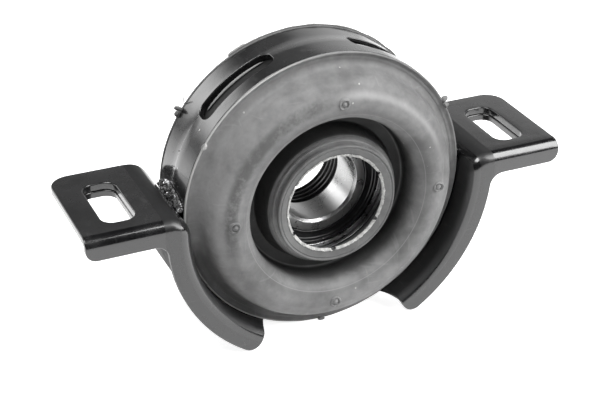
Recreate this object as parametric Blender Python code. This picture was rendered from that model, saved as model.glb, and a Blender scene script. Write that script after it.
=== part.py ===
"""Driveshaft centre bearing.

A sealed ball bearing sits in a steel sleeve, the sleeve hangs in a moulded rubber
cushion, and the cushion is bonded into a pressed ring. A two-ply sheet bracket is
welded to each side of the ring, with a slotted ear that bolts up to the vehicle.

Sizes are in metres. The bearing axis runs along Y, the front of the part faces -Y and
Z is up. Positions along Y and angles are first worked out from the ring's front rim and
the bearing axis; the empty bearing_axis then lifts everything to stand on Z = 0, with
the middle of the footprint at the origin.
"""
from math import acos, asin, atan2, ceil, cos, hypot, pi, radians, sin, sqrt, tan

import bmesh
import bpy

# Fits and fineness
GAP = 0.0003                   # between pieces that seat on each other
TURNED_STEPS = 40              # facets round every turned piece
ROUND_STEPS = ((0.0006, radians(95)), (0.0030, radians(46)), (1.0, radians(23)))

# Ball bearing
BORE_RADIUS = 0.0150
RACE_OUTER_RADIUS = 0.0310
RACE_WIDTH = 0.0160
RACE_FRONT_Y = 0.0056          # front faces of the races, behind the ring's rim
RACE_CHAMFER = 0.0010
BALL_COUNT = 9
BALL_SIZE = 0.2975             # ball radius to the mean of the races' width and section
INNER_SHOULDER = 0.756         # pitch circle to inner shoulder, in ball radii
OUTER_SHOULDER = 0.610         # pitch circle to outer shoulder, in ball radii
CAGE_WALL = 0.710              # in ball radii
CAGE_FINGER = 0.550            # fingers past the ball centres, in ball radii
SEAL_THICKNESS = 0.0011
SEAL_INSET = 0.0005            # seal face behind the race face
SEAL_BEAD = 0.0004             # height of the bead near the seal's outer edge
SEAL_BEAD_WIDTH = 0.0006

# Bearing sleeve
SLEEVE_WALL = 0.0018
SLEEVE_LIP = 0.0035            # how far the front lip turns in over the outer race
SLEEVE_REAR_Y = 0.0304
SLEEVE_BEND = 0.0015

# Rear dust seal
DUST_SEAL_RADIUS = 0.0154
DUST_SEAL_NOSE_WALL = 0.0051
DUST_SEAL_NOSE_TAPER = 0.0035
DUST_SEAL_NOSE = 0.0032        # how far the nose stands behind the seal's rear face
DUST_SEAL_INSET = 0.0016       # rear face inside the sleeve's rear edge
DUST_SEAL_ROUND = 0.0010
DUST_SEAL_RIBS = 3
DUST_SEAL_RIB = 0.0009         # height of a rib
DUST_SEAL_CREST = (0.30, 0.45, 0.85)   # crest edge, root and far edge, in rib pitches

# Outer ring
RING_RADIUS = 0.0575
RING_WALL = 0.0025
RING_FRONT_Y = 0.0006
RING_REAR_Y = 0.0274
RING_STEP = 0.0008             # the rear half is this much smaller in radius
RING_STEP_Y = 0.0150
RING_STEP_LENGTH = 0.0024
RING_EDGE = 0.0006             # broken edge at the ring's rims
SLOT_WIDTH = 0.0097
SLOT_SPAN = radians(34.4)
SLOT_Y = 0.0125
SLOT_ANGLES = (radians(125), radians(58.5))

# Rubber cushion
RIM_LIP = 0.0009               # rubber over the ring's front and rear edges
RIM_ROUND = 0.0005
REAR_RIM_PROUD = 0.0006        # the rear rim stands this far out of the ring
FRONT_RIM_PROUD = 0.0002
RIM_BAND = 0.0050              # width of the sloping band inside the rim
RIM_DIP = 0.0032               # depth of the groove where the crown starts
RIM_DIP_ROUND = 0.0010
FLANK_LEAN = 0.0034
CROWN_Y = -0.0124              # front of the crown
CROWN_OUTER_ROUND = 0.0110
CROWN_INNER_ROUND = 0.0050
ROOF_OUTER_ROUND = 0.0070
ROOF_INNER_ROUND = 0.0030
SKIRT_FLARE = 0.0010           # how much thicker the ring skin is at mid width
RECESS_WALL = 0.0019           # recess wall outside the sleeve
RECESS_DRAFT = 0.0007
RECESS_ROUND = 0.0016
RECESS_SKIN = 0.0014           # rubber in front of the sleeve
HUB_WIDTH = 0.0043             # collar root inside the sleeve's radius
HUB_SKIN = 0.0030              # rubber round the sleeve
HUB_ROUND = 0.0008
RING_SKIN = 0.0028             # rubber inside the ring
WALL_THICKNESS = 0.0045        # rolled wall of the cushion
BOOT_LIP_RADIUS = 0.0243
BOOT_LIP_Y = -0.0102
BOOT_LIP_WIDTH = 0.0047
BOOT_LIP_DEPTH = 0.0010
BOOT_LIP_ROUND = 0.0010
BOOT_WALL = 0.0027
BOOT_RIDGE_Y = -0.0054
BOOT_RIDGE_RISE = 0.0024       # how far the widest ridge stands over the lip
BOOT_RIDGE_STEP = 0.0012       # front to back size of each ridge
HUB_REAR_INSET = 0.0014        # rubber ends this far inside the sleeve's rear edge

# Brackets
PLATE = 0.0030
SECOND_PLATE = 0.0028
EAR_TOP_Z = 0.00717            # over the bearing axis
EAR_REAR_Y = 0.0392
EAR_REAR_CORNER = 0.0080
BOLT_SLOT_REACH = 0.02420      # slot centre outboard of the ring
EAR_TAIL = 0.01630             # slot centre to the ear's outer end
BOLT_SLOT_WIDTH = 0.0127
BOLT_SLOT_LENGTH = 0.0295
BOLT_SLOT_CORNER = 0.0045
BOLT_SLOT_Y = 0.0136
FLANGE_FRONT_Y = -0.0108
FLANGE_BEND = 0.0042           # outer radius of the bend into the flange
FLANGE_DEPTH = 0.0089          # ear top down to the flange's lower edge
FLANGE_CORNER = 0.0043
LEG_FLANGE = 0.0097            # web face out to the leg's edge
LEG_CORNER = 0.0050
CROTCH_ROUND = 0.0055          # rounding between ear and leg, on the flange
EAR_BEND = 0.0080              # ear into web
REAR_STEP_LEAD = 0.0042        # the rear edge starts to step forward this far before the bend
WEB_REAR_Y = 0.0270
WEB_TOE_Y = 0.0220
LEG_END = radians(-60.2)
TOE_ANGLE = radians(4.4)       # the web's toe reaches on beside the ring
TOE_SHEAR = 0.60               # share of the toe lost through the plate's thickness
TOE_FRONT_Y = -0.0080
TOE_BACK_Y = 0.0020
SECOND_EAR_INSET = 0.0070
SECOND_REAR_INSET = 0.0008
SECOND_BOW = 0.0018            # the second ply stands this far off the web at mid length
SECOND_END = radians(-33)

BRACKET_END_FACES = ((0, 1, 13, 14), (1, 2, 12, 13), (2, 3, 11, 12), (3, 4, 10, 11), (4, 5, 10),
                     (5, 6, 9, 10), (6, 7, 8, 9))

# Welds
BEAD_FRONT_Y = 0.0012
BEAD_REAR_Y = 0.0250
BEAD_ROOT = radians(4.0)       # root of the bead, over the bearing axis level
BEAD_TOE = radians(8.0)
BEAD_RIPPLE = 0.00025
BEAD_RIPPLES = 7
BEAD_CROWN = 0.0006            # height of the bead over its two edges
BEAD_BULGE = 0.0001
BEAD_TAPER = 0.35              # how bluntly the bead's ends close
TOE_WELD_LEG = 0.0034
TOE_WELD_START = radians(-38)
TOE_WELD_END = radians(-58)
TOE_WELD_TIP = 0.35            # leg at the weld's ends, as a share of the full leg
TOE_WELD_THROAT = 0.55         # middle of the fillet's face, as a share of the leg
TOE_WELD_REACH = 0.80          # reach along the ring, as a share of the leg

# Levels that follow from the sizes above
PITCH_RADIUS = (BORE_RADIUS + RACE_OUTER_RADIUS) / 2
BALL_RADIUS = BALL_SIZE * sqrt(RACE_WIDTH * (RACE_OUTER_RADIUS - BORE_RADIUS))
RACE_CENTRE_Y = RACE_FRONT_Y + RACE_WIDTH / 2
RACE_REAR_Y = RACE_FRONT_Y + RACE_WIDTH
INNER_RAIL = PITCH_RADIUS - INNER_SHOULDER * BALL_RADIUS
OUTER_RAIL = PITCH_RADIUS + OUTER_SHOULDER * BALL_RADIUS
GROOVE_RADIUS = BALL_RADIUS + GAP
SLEEVE_INNER = RACE_OUTER_RADIUS + GAP
SLEEVE_OUTER = SLEEVE_INNER + SLEEVE_WALL
SLEEVE_FRONT_Y = RACE_FRONT_Y - GAP - SLEEVE_WALL
RING_REAR_RADIUS = RING_RADIUS - RING_STEP
WEB_RADIUS = RING_RADIUS + GAP
SLOT_X = RING_RADIUS + BOLT_SLOT_REACH
EAR_END_X = SLOT_X + EAR_TAIL
CUSHION_FRONT_Y = min(CROWN_Y, BOOT_LIP_Y, FLANGE_FRONT_Y)
CENTRE_Y = (CUSHION_FRONT_Y + EAR_REAR_Y) / 2
AXIS_HEIGHT = RING_RADIUS


def clear_scene():
    for item in list(bpy.data.objects):
        bpy.data.objects.remove(item, do_unlink=True)


def material(name, colour, roughness, metallic=0.0):
    made = bpy.data.materials.new(name)
    made.use_nodes = True
    shader = made.node_tree.nodes["Principled BSDF"]
    shader.inputs["Base Color"].default_value = (*colour, 1.0)
    shader.inputs["Roughness"].default_value = roughness
    shader.inputs["Metallic"].default_value = metallic
    return made


def face_outwards(bm):
    """Turns all faces of a closed shape outwards; a positive volume proves it."""
    bmesh.ops.recalc_face_normals(bm, faces=bm.faces)
    if bm.calc_volume(signed=True) < 0:
        bmesh.ops.reverse_faces(bm, faces=bm.faces)


def add_piece(name, bm, finish, axis, smooth_angle=radians(32)):
    """Turns a bmesh into a named object that hangs on the bearing axis."""
    face_outwards(bm)
    mesh = bpy.data.meshes.new(name)
    bm.to_mesh(mesh)
    bm.free()
    mesh.shade_smooth()
    mesh.set_sharp_from_angle(angle=smooth_angle)
    mesh.materials.append(finish)
    piece = bpy.data.objects.new(name, mesh)
    bpy.context.scene.collection.objects.link(piece)
    piece.parent = axis
    return piece


def add_cut(piece, bm, name):
    """Cuts a closed shape out of a piece with a hidden Boolean cutter."""
    face_outwards(bm)
    mesh = bpy.data.meshes.new(name)
    bm.to_mesh(mesh)
    bm.free()
    cutter = bpy.data.objects.new(name, mesh)
    bpy.context.scene.collection.objects.link(cutter)
    cutter.parent = piece.parent
    cutter.hide_render = True
    cutter.display_type = 'WIRE'
    cut = piece.modifiers.new(name, 'BOOLEAN')
    cut.operation = 'DIFFERENCE'
    cut.solver = 'EXACT'
    cut.object = cutter


def rounded(corners):
    """Closed outline from corners (u, v, rounding); roundings shrink to fit their sides.

    ROUND_STEPS gives the largest turn between two points, for a rounding under each radius.
    """
    count = len(corners)
    sides = [hypot(corners[(i + 1) % count][0] - corners[i][0],
                   corners[(i + 1) % count][1] - corners[i][1]) for i in range(count)]
    turns, reaches = [], []
    for i, (u, v, round_radius) in enumerate(corners):
        before, after = corners[i - 1], corners[(i + 1) % count]
        heading_in = atan2(v - before[1], u - before[0])
        heading_out = atan2(after[1] - v, after[0] - u)
        turn = (heading_out - heading_in + pi) % (2 * pi) - pi
        turns.append((heading_in, turn))
        reaches.append(round_radius * tan(abs(turn) / 2))
    outline = []
    for i, (u, v, round_radius) in enumerate(corners):
        fit = min(1.0, 0.98 * sides[i - 1] / max(reaches[i - 1] + reaches[i], 1e-9),
                  0.98 * sides[i] / max(reaches[i] + reaches[(i + 1) % count], 1e-9))
        radius, reach = round_radius * fit, reaches[i] * fit
        heading, turn = turns[i]
        if reach < 1e-6:
            outline.append((u, v))
            continue
        side = 1 if turn > 0 else -1
        start_u, start_v = u - reach * cos(heading), v - reach * sin(heading)
        centre_u = start_u - side * radius * sin(heading)
        centre_v = start_v + side * radius * cos(heading)
        finest = next(step for limit, step in ROUND_STEPS if radius < limit)
        steps = max(1, ceil(abs(turn) / finest))
        for k in range(steps + 1):
            angle = heading + turn * k / steps
            outline.append((centre_u + side * radius * sin(angle), centre_v - side * radius * cos(angle)))
    return outline


def turned(name, outline, finish, axis):
    """Spins a closed outline of (radius, y) points once round the bearing axis."""
    bm = bmesh.new()
    points = [bm.verts.new((radius, y, 0)) for radius, y in outline]
    edges = [bm.edges.new((points[i - 1], points[i])) for i in range(len(points))]
    bmesh.ops.spin(bm, geom=points + edges, cent=(0, 0, 0), axis=(0, 1, 0), angle=2 * pi,
                   steps=TURNED_STEPS, use_merge=True)
    bmesh.ops.remove_doubles(bm, verts=bm.verts, dist=1e-7)
    return add_piece(name, bm, finish, axis)


def lofted(sections, end_faces=None):
    """Joins equal closed sections into a tube and closes its two ends.

    end_faces lists the faces that close an end by the section's point numbers, where
    one face over the whole section would fold.
    """
    bm = bmesh.new()
    rows = [[bm.verts.new(point) for point in section] for section in sections]
    width = len(sections[0])
    for first, second in zip(rows, rows[1:]):
        for k in range(width):
            bm.faces.new((first[k], first[(k + 1) % width], second[(k + 1) % width], second[k]))
    for row, order in ((rows[0], -1), (rows[-1], 1)):
        for face in end_faces or (range(width),):
            bm.faces.new([row[k] for k in face][::order])
    return bm


def prism(outline, place, low, high):
    """Closed prism: place(u, v, w) puts an outline point at height w."""
    return lofted([[place(u, v, level) for u, v in outline] for level in (low, high)])


def groove_arc(direction, steps=4):
    """Ball groove of a race as (radius, y) points; direction -1 inner race, +1 outer race."""
    rail = INNER_RAIL if direction < 0 else OUTER_RAIL
    half_width = sqrt(GROOVE_RADIUS ** 2 - (rail - PITCH_RADIUS) ** 2)
    half_angle = asin(half_width / GROOVE_RADIUS)
    points = []
    for k in range(steps + 1):
        angle = -half_angle + 2 * half_angle * k / steps
        points.append((PITCH_RADIUS + direction * GROOVE_RADIUS * cos(angle),
                       RACE_CENTRE_Y + GROOVE_RADIUS * sin(angle)))
    return points


def make_races(steel, axis):
    inner = [(BORE_RADIUS + RACE_CHAMFER, RACE_FRONT_Y), (INNER_RAIL, RACE_FRONT_Y)]
    inner += groove_arc(-1)
    inner += [(INNER_RAIL, RACE_REAR_Y), (BORE_RADIUS + RACE_CHAMFER, RACE_REAR_Y),
              (BORE_RADIUS, RACE_REAR_Y - RACE_CHAMFER), (BORE_RADIUS, RACE_FRONT_Y + RACE_CHAMFER)]
    turned("inner_race", inner, steel, axis)
    outer = [(RACE_OUTER_RADIUS - RACE_CHAMFER, RACE_FRONT_Y), (OUTER_RAIL, RACE_FRONT_Y)]
    outer += groove_arc(1)
    outer += [(OUTER_RAIL, RACE_REAR_Y), (RACE_OUTER_RADIUS - RACE_CHAMFER, RACE_REAR_Y),
              (RACE_OUTER_RADIUS, RACE_REAR_Y - RACE_CHAMFER),
              (RACE_OUTER_RADIUS, RACE_FRONT_Y + RACE_CHAMFER)]
    turned("outer_race", outer, steel, axis)


def ball_place(index):
    angle = 2 * pi * index / BALL_COUNT + pi / 2
    return (PITCH_RADIUS * cos(angle), RACE_CENTRE_Y, PITCH_RADIUS * sin(angle))


def make_balls(steel, axis):
    for index in range(BALL_COUNT):
        bm = bmesh.new()
        bmesh.ops.create_uvsphere(bm, u_segments=12, v_segments=7, radius=BALL_RADIUS)
        bmesh.ops.translate(bm, verts=bm.verts, vec=ball_place(index))
        add_piece(f"ball_{index + 1}", bm, steel, axis)


def make_cage(finish, axis):
    """Moulded snap cage: a rear ring with fingers that reach between the balls."""
    rear_y = RACE_REAR_Y - SEAL_INSET - SEAL_THICKNESS - GAP
    front_y = RACE_CENTRE_Y - CAGE_FINGER * BALL_RADIUS
    half_wall = CAGE_WALL * BALL_RADIUS / 2
    low, high = PITCH_RADIUS - half_wall, PITCH_RADIUS + half_wall
    cage = turned("ball_cage", [(low, front_y), (high, front_y), (high, rear_y), (low, rear_y)],
                  finish, axis)
    pockets = bmesh.new()
    for index in range(BALL_COUNT):
        made = bmesh.ops.create_uvsphere(pockets, u_segments=12, v_segments=7,
                                         radius=BALL_RADIUS + GAP)
        bmesh.ops.translate(pockets, verts=made["verts"], vec=ball_place(index))
    add_cut(cage, pockets, "ball_pockets")


def make_seals(finish, axis):
    low, high = INNER_RAIL + GAP, OUTER_RAIL - GAP
    bead = high - 2 * SEAL_BEAD_WIDTH
    for name, face_y, inward in (("front_seal", RACE_FRONT_Y, 1), ("rear_seal", RACE_REAR_Y, -1)):
        outer_y = face_y + inward * SEAL_INSET
        inner_y = outer_y + inward * SEAL_THICKNESS
        proud_y = outer_y - inward * SEAL_BEAD
        outline = [(low, outer_y), (bead - SEAL_BEAD_WIDTH, outer_y), (bead, proud_y),
                   (bead + SEAL_BEAD_WIDTH, proud_y), (high, outer_y), (high, inner_y), (low, inner_y)]
        turned(name, outline, finish, axis)


def make_sleeve(finish, axis):
    lip = RACE_OUTER_RADIUS - SLEEVE_LIP
    turned("bearing_sleeve", rounded([
        (lip, SLEEVE_FRONT_Y, 0), (SLEEVE_OUTER, SLEEVE_FRONT_Y, SLEEVE_BEND),
        (SLEEVE_OUTER, SLEEVE_REAR_Y, 0), (SLEEVE_INNER, SLEEVE_REAR_Y, 0),
        (SLEEVE_INNER, SLEEVE_FRONT_Y + SLEEVE_WALL, 0), (lip, SLEEVE_FRONT_Y + SLEEVE_WALL, 0)]),
        finish, axis)


def make_dust_seal(finish, axis):
    """Rubber lip seal in the sleeve behind the bearing, with ribs in its bore."""
    outer = SLEEVE_INNER - GAP
    front_y = RACE_REAR_Y + GAP
    rear_y = SLEEVE_REAR_Y - DUST_SEAL_INSET
    nose_y = rear_y + DUST_SEAL_NOSE
    nose_radius = DUST_SEAL_RADIUS + DUST_SEAL_NOSE_WALL
    outline = [(outer, front_y, 0), (outer, rear_y, 0), (nose_radius + DUST_SEAL_NOSE_TAPER, rear_y, 0),
               (nose_radius, nose_y, DUST_SEAL_ROUND), (DUST_SEAL_RADIUS, nose_y, 0)]
    pitch = (nose_y - front_y) / DUST_SEAL_RIBS
    for k in range(DUST_SEAL_RIBS):
        crest_y, root_y, end_y = (nose_y - pitch * (k + share) for share in DUST_SEAL_CREST)
        outline += [(DUST_SEAL_RADIUS, crest_y, 0), (DUST_SEAL_RADIUS + DUST_SEAL_RIB, root_y, 0),
                    (DUST_SEAL_RADIUS + DUST_SEAL_RIB, end_y, 0)]
    outline += [(DUST_SEAL_RADIUS, front_y, 0)]
    turned("rear_dust_seal", rounded(outline), finish, axis)


def make_ring(finish, axis):
    """Pressed ring with a step at mid width and two long slots over the cushion."""
    step_in, step_out = RING_STEP_Y - RING_STEP_LENGTH / 2, RING_STEP_Y + RING_STEP_LENGTH / 2
    low_front, low_rear = RING_RADIUS - RING_WALL, RING_REAR_RADIUS - RING_WALL
    ring = turned("outer_ring", [
        (RING_RADIUS - RING_EDGE, RING_FRONT_Y), (RING_RADIUS, RING_FRONT_Y + RING_EDGE),
        (RING_RADIUS, step_in), (RING_REAR_RADIUS, step_out),
        (RING_REAR_RADIUS, RING_REAR_Y - RING_EDGE), (RING_REAR_RADIUS - RING_EDGE, RING_REAR_Y),
        (low_rear, RING_REAR_Y), (low_rear, step_out), (low_front, step_in),
        (low_front, RING_FRONT_Y)], finish, axis)
    half_length = RING_RADIUS * sin(SLOT_SPAN / 2)
    end = SLOT_WIDTH / 2
    outline = rounded([(-half_length, -end, end), (half_length, -end, end),
                       (half_length, end, end), (-half_length, end, end)])
    for index, angle in enumerate(SLOT_ANGLES):
        def place(along, across, height, angle=angle):
            return (height * cos(angle) - along * sin(angle), SLOT_Y + across,
                    height * sin(angle) + along * cos(angle))
        cutter = prism(outline, place, RING_RADIUS - 3 * RING_WALL, RING_RADIUS + RING_WALL)
        add_cut(ring, cutter, f"ring_slot_{index + 1}")


def make_cushion(finish, axis):
    """One moulding: rim, rolled crown, deep recess and the boot in front of the bearing."""
    low_front, low_rear = RING_RADIUS - RING_WALL - GAP, RING_REAR_RADIUS - RING_WALL - GAP
    step_in, step_out = RING_STEP_Y - RING_STEP_LENGTH / 2, RING_STEP_Y + RING_STEP_LENGTH / 2
    rim_y = RING_FRONT_Y - GAP
    rear_y = RING_REAR_Y + GAP
    front_rim = RING_RADIUS - FRONT_RIM_PROUD
    rear_rim = RING_REAR_RADIUS + REAR_RIM_PROUD
    skirt = low_rear - RING_SKIN
    dip_radius = RING_RADIUS - RIM_BAND
    crown_outer = dip_radius - FLANK_LEAN
    recess_outer = SLEEVE_OUTER + RECESS_WALL
    recess_y = SLEEVE_FRONT_Y - GAP - RECESS_SKIN
    roof_y = CROWN_Y + WALL_THICKNESS
    hub_root = SLEEVE_OUTER - HUB_WIDTH
    bond = SLEEVE_OUTER + GAP
    hub_rear_y = SLEEVE_REAR_Y - HUB_REAR_INSET
    sleeve_lip = RACE_OUTER_RADIUS - SLEEVE_LIP
    ridge = BOOT_LIP_RADIUS + BOOT_RIDGE_RISE
    mouth = BOOT_LIP_RADIUS - BOOT_LIP_WIDTH
    crown = [(front_rim, rim_y - RIM_LIP, RIM_ROUND), (dip_radius, RIM_DIP, RIM_DIP_ROUND),
             (crown_outer, CROWN_Y, CROWN_OUTER_ROUND), (recess_outer, CROWN_Y, CROWN_INNER_ROUND),
             (recess_outer - RECESS_DRAFT, recess_y, RECESS_ROUND), (hub_root, recess_y, HUB_ROUND)]
    boot = [(ridge, BOOT_RIDGE_Y, 0), (ridge - BOOT_RIDGE_RISE / 2, BOOT_RIDGE_Y - BOOT_RIDGE_STEP / 2, 0),
            (ridge - BOOT_RIDGE_RISE / 2, BOOT_RIDGE_Y - BOOT_RIDGE_STEP, 0),
            (BOOT_LIP_RADIUS, BOOT_RIDGE_Y - 2 * BOOT_RIDGE_STEP, 0),
            (BOOT_LIP_RADIUS, BOOT_LIP_Y, BOOT_LIP_ROUND), (mouth, BOOT_LIP_Y, 0),
            (mouth, BOOT_LIP_Y + BOOT_LIP_DEPTH, 0),
            (BOOT_LIP_RADIUS - BOOT_WALL, BOOT_LIP_Y + BOOT_WALL, HUB_ROUND)]
    hub = [(sleeve_lip, SLEEVE_FRONT_Y - GAP, 0), (bond, SLEEVE_FRONT_Y - GAP, SLEEVE_BEND + GAP),
           (bond, hub_rear_y, 0), (bond + HUB_SKIN, hub_rear_y, HUB_ROUND)]
    back = [(recess_outer + WALL_THICKNESS, roof_y, ROOF_INNER_ROUND),
            (crown_outer - WALL_THICKNESS, roof_y, ROOF_OUTER_ROUND), (skirt - SKIRT_FLARE, RING_STEP_Y, 0),
            (skirt, rear_y + RIM_LIP, RIM_ROUND), (rear_rim, rear_y + RIM_LIP, RIM_ROUND),
            (rear_rim, rear_y, 0), (low_rear, rear_y, 0), (low_rear, step_out, 0),
            (low_front, step_in, 0), (low_front, rim_y, 0), (front_rim, rim_y, 0)]
    turned("rubber_cushion", rounded(crown + boot + hub + back), finish, axis)


def corner_drop(distance, radius):
    """How far a rounded corner falls back at a distance from its end."""
    if distance >= radius:
        return 0.0
    return radius - sqrt(max(radius ** 2 - (radius - distance) ** 2, 0.0))


def bend_centre():
    """Centre of the bend from ear to web, tangent to the ear top and the web circle."""
    height = EAR_TOP_Z - EAR_BEND
    return sqrt((WEB_RADIUS + EAR_BEND) ** 2 - height ** 2), height


def crotch_centre():
    """Centre of the rounding between the ear's lower edge and the leg's outer edge."""
    height = EAR_TOP_Z - FLANGE_DEPTH - CROTCH_ROUND
    return sqrt((WEB_RADIUS + LEG_FLANGE + CROTCH_ROUND) ** 2 - height ** 2), height


def bracket_stations(ear_end_x, leg_end):
    """Stations down the bracket: surface point, normal, ear distance and web angle.

    Each station is (x, z, normal x, normal z, x along the ear or None, angle on the web or None).
    """
    centre_x, centre_z = bend_centre()
    crotch_x, crotch_z = crotch_centre()
    stations = []
    corner = [ear_end_x - EAR_REAR_CORNER * (1 - cos(k * pi / 12)) for k in range(7)]
    ear = corner + [SLOT_X, crotch_x, (crotch_x + centre_x) / 2, centre_x]
    for x in ear:
        stations.append((x, EAR_TOP_Z, 0.0, 1.0, x, None))
    stop = atan2(-centre_z, -centre_x) % (2 * pi)
    steps = 7
    for k in range(1, steps):
        angle = pi / 2 + (stop - pi / 2) * k / steps
        stations.append((centre_x + EAR_BEND * cos(angle), centre_z + EAR_BEND * sin(angle),
                         cos(angle), sin(angle), None, None))
    start = atan2(centre_z, centre_x)
    crotch = atan2(crotch_z, crotch_x)
    tip = LEG_CORNER / (WEB_RADIUS + LEG_FLANGE)
    plain = 12
    angles = [start, crotch] + [crotch + (leg_end + tip - crotch) * k / plain for k in range(1, plain + 1)]
    angles += [leg_end + tip * (1 - sin(k * pi / 8)) for k in range(1, 5)]
    for angle in angles:
        stations.append((WEB_RADIUS * cos(angle), WEB_RADIUS * sin(angle), -cos(angle), -sin(angle),
                         None, angle))
    return stations


def rear_edge(station, leg_end, ear_end_x):
    """Rear edge of the plate, which steps forward from the ear to the web."""
    x, z, normal_x, normal_z, ear_x, angle = station
    centre_x = bend_centre()[0]
    sweep = REAR_STEP_LEAD + EAR_BEND * pi / 2
    if ear_x is not None:
        run = max(centre_x + REAR_STEP_LEAD - ear_x, 0.0)
        return (WEB_REAR_Y + (EAR_REAR_Y - WEB_REAR_Y) * sqrt(1 - (run / sweep) ** 2)
                - corner_drop(ear_end_x - ear_x, EAR_REAR_CORNER))
    if angle is None:
        run = REAR_STEP_LEAD + EAR_BEND * acos(max(min(normal_z, 1.0), -1.0))
        return WEB_REAR_Y + (EAR_REAR_Y - WEB_REAR_Y) * sqrt(max(1 - (run / sweep) ** 2, 0.0))
    return WEB_REAR_Y + (WEB_TOE_Y - WEB_REAR_Y) * angle / leg_end


def flange_edge(stations):
    """Outer edge of the front flange, one (x, z) point for each station."""
    centre_x, centre_z = crotch_centre()
    crotch = atan2(centre_z, centre_x)
    low = EAR_TOP_Z - FLANGE_DEPTH
    inside = [i for i, s in enumerate(stations)
              if (s[4] is not None and s[4] < centre_x) or (s[4] is None and s[5] is None)
              or (s[5] is not None and s[5] > crotch)]
    first, last = inside[0] - 1, inside[-1] + 1
    stop = atan2(-centre_z, -centre_x) % (2 * pi)
    edge = []
    for i, (x, z, normal_x, normal_z, ear_x, angle) in enumerate(stations):
        if first <= i <= last:
            turn = pi / 2 + (stop - pi / 2) * (i - first) / (last - first)
            edge.append((centre_x + CROTCH_ROUND * cos(turn), centre_z + CROTCH_ROUND * sin(turn)))
        elif ear_x is not None:
            edge.append((x, low + corner_drop(EAR_END_X - x, FLANGE_CORNER)))
        else:
            radius = WEB_RADIUS + LEG_FLANGE
            radius -= corner_drop((angle - LEG_END) * radius, LEG_CORNER)
            edge.append((radius * cos(angle), radius * sin(angle)))
    return edge


def toe_shift(y, station_angle):
    """Extra angle of the web's end beside the ring, none at the flange."""
    reach = min(max((y - TOE_FRONT_Y) / (TOE_BACK_Y - TOE_FRONT_Y), 0.0), 1.0)
    near = min(max(1 - (station_angle - LEG_END) / (2 * TOE_ANGLE), 0.0), 1.0)
    return -TOE_ANGLE * reach ** 1.2 * near


def slot_outline():
    half_width, half_length, corner = BOLT_SLOT_WIDTH / 2, BOLT_SLOT_LENGTH / 2, BOLT_SLOT_CORNER
    return rounded([(-half_width, -half_length, corner), (half_width, -half_length, corner),
                    (half_width, half_length, corner), (-half_width, half_length, corner)])


def cut_bolt_slot(piece, side):
    def place(across, along, height):
        return (side * SLOT_X + across, BOLT_SLOT_Y + along, height)
    cutter = prism(slot_outline(), place, EAR_TOP_Z - 3 * PLATE, EAR_TOP_Z + PLATE)
    add_cut(piece, cutter, piece.name + "_bolt_slot")


def make_bracket(name, side, finish, axis):
    """Main plate: slotted ear, bend, web on the ring, and a flange all along the front."""
    stations = bracket_stations(EAR_END_X, LEG_END)
    edge = flange_edge(stations)
    columns = [TOE_BACK_Y, (TOE_BACK_Y + TOE_FRONT_Y) / 2]
    bend_y = FLANGE_FRONT_Y + FLANGE_BEND
    inner_bend = FLANGE_BEND - PLATE
    sections = []
    for station, (edge_x, edge_z) in zip(stations, edge):
        x, z, normal_x, normal_z, ear_x, angle = station
        rear_y = rear_edge(station, LEG_END, EAR_END_X)
        top = [(0.0, rear_y)] + [(0.0, y) for y in columns]
        top += [(FLANGE_BEND * (1 - cos(a)), bend_y - FLANGE_BEND * sin(a))
                for a in (0, pi / 6, pi / 3, pi / 2)]
        under = [(FLANGE_BEND - inner_bend * cos(a), bend_y - inner_bend * sin(a))
                 for a in (pi / 2, pi / 4, 0)]
        under += [(PLATE, y) for y in reversed(columns)] + [(PLATE, rear_y)]

        def place(depth, y):
            if angle is None:
                return (side * (x - depth * normal_x), y, z - depth * normal_z)
            turned_angle = angle + toe_shift(y, angle) * (1 - TOE_SHEAR * min(depth / PLATE, 1.0))
            radius = WEB_RADIUS + depth
            return (side * radius * cos(turned_angle), y, radius * sin(turned_angle))
        section = [place(*point) for point in top]
        section += [(side * edge_x, FLANGE_FRONT_Y, edge_z), (side * edge_x, FLANGE_FRONT_Y + PLATE, edge_z)]
        section += [place(*point) for point in under]
        sections.append(section)
    bracket = add_piece(name, lofted(sections, BRACKET_END_FACES), finish, axis)
    cut_bolt_slot(bracket, side)


def make_second_plate(name, side, finish, axis):
    """Second ply, nested under the ear and down the outside of the web."""
    end_x = EAR_END_X - SECOND_EAR_INSET
    stations = bracket_stations(end_x, SECOND_END)
    front_y = FLANGE_FRONT_Y + FLANGE_BEND + GAP
    top, bottom = PLATE + GAP, PLATE + GAP + SECOND_PLATE
    sections = []
    for station in stations:
        x, z, normal_x, normal_z, ear_x, angle = station
        rear_y = rear_edge(station, LEG_END, end_x) - SECOND_REAR_INSET
        bow = 0.0 if angle is None else SECOND_BOW * sin(pi * max(angle / SECOND_END, 0.0))
        sections.append([(side * (x - depth * normal_x), y, z - depth * normal_z)
                         for depth, y in ((top + bow, rear_y), (top + bow, front_y),
                                          (bottom + bow, front_y), (bottom + bow, rear_y))])
    plate = add_piece(name, lofted(sections), finish, axis)
    cut_bolt_slot(plate, side)


def ring_surface(y):
    """Outer radius of the pressed ring at y."""
    share = min(max((y - RING_STEP_Y) / RING_STEP_LENGTH + 0.5, 0.0), 1.0)
    return RING_RADIUS - RING_STEP * share


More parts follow.
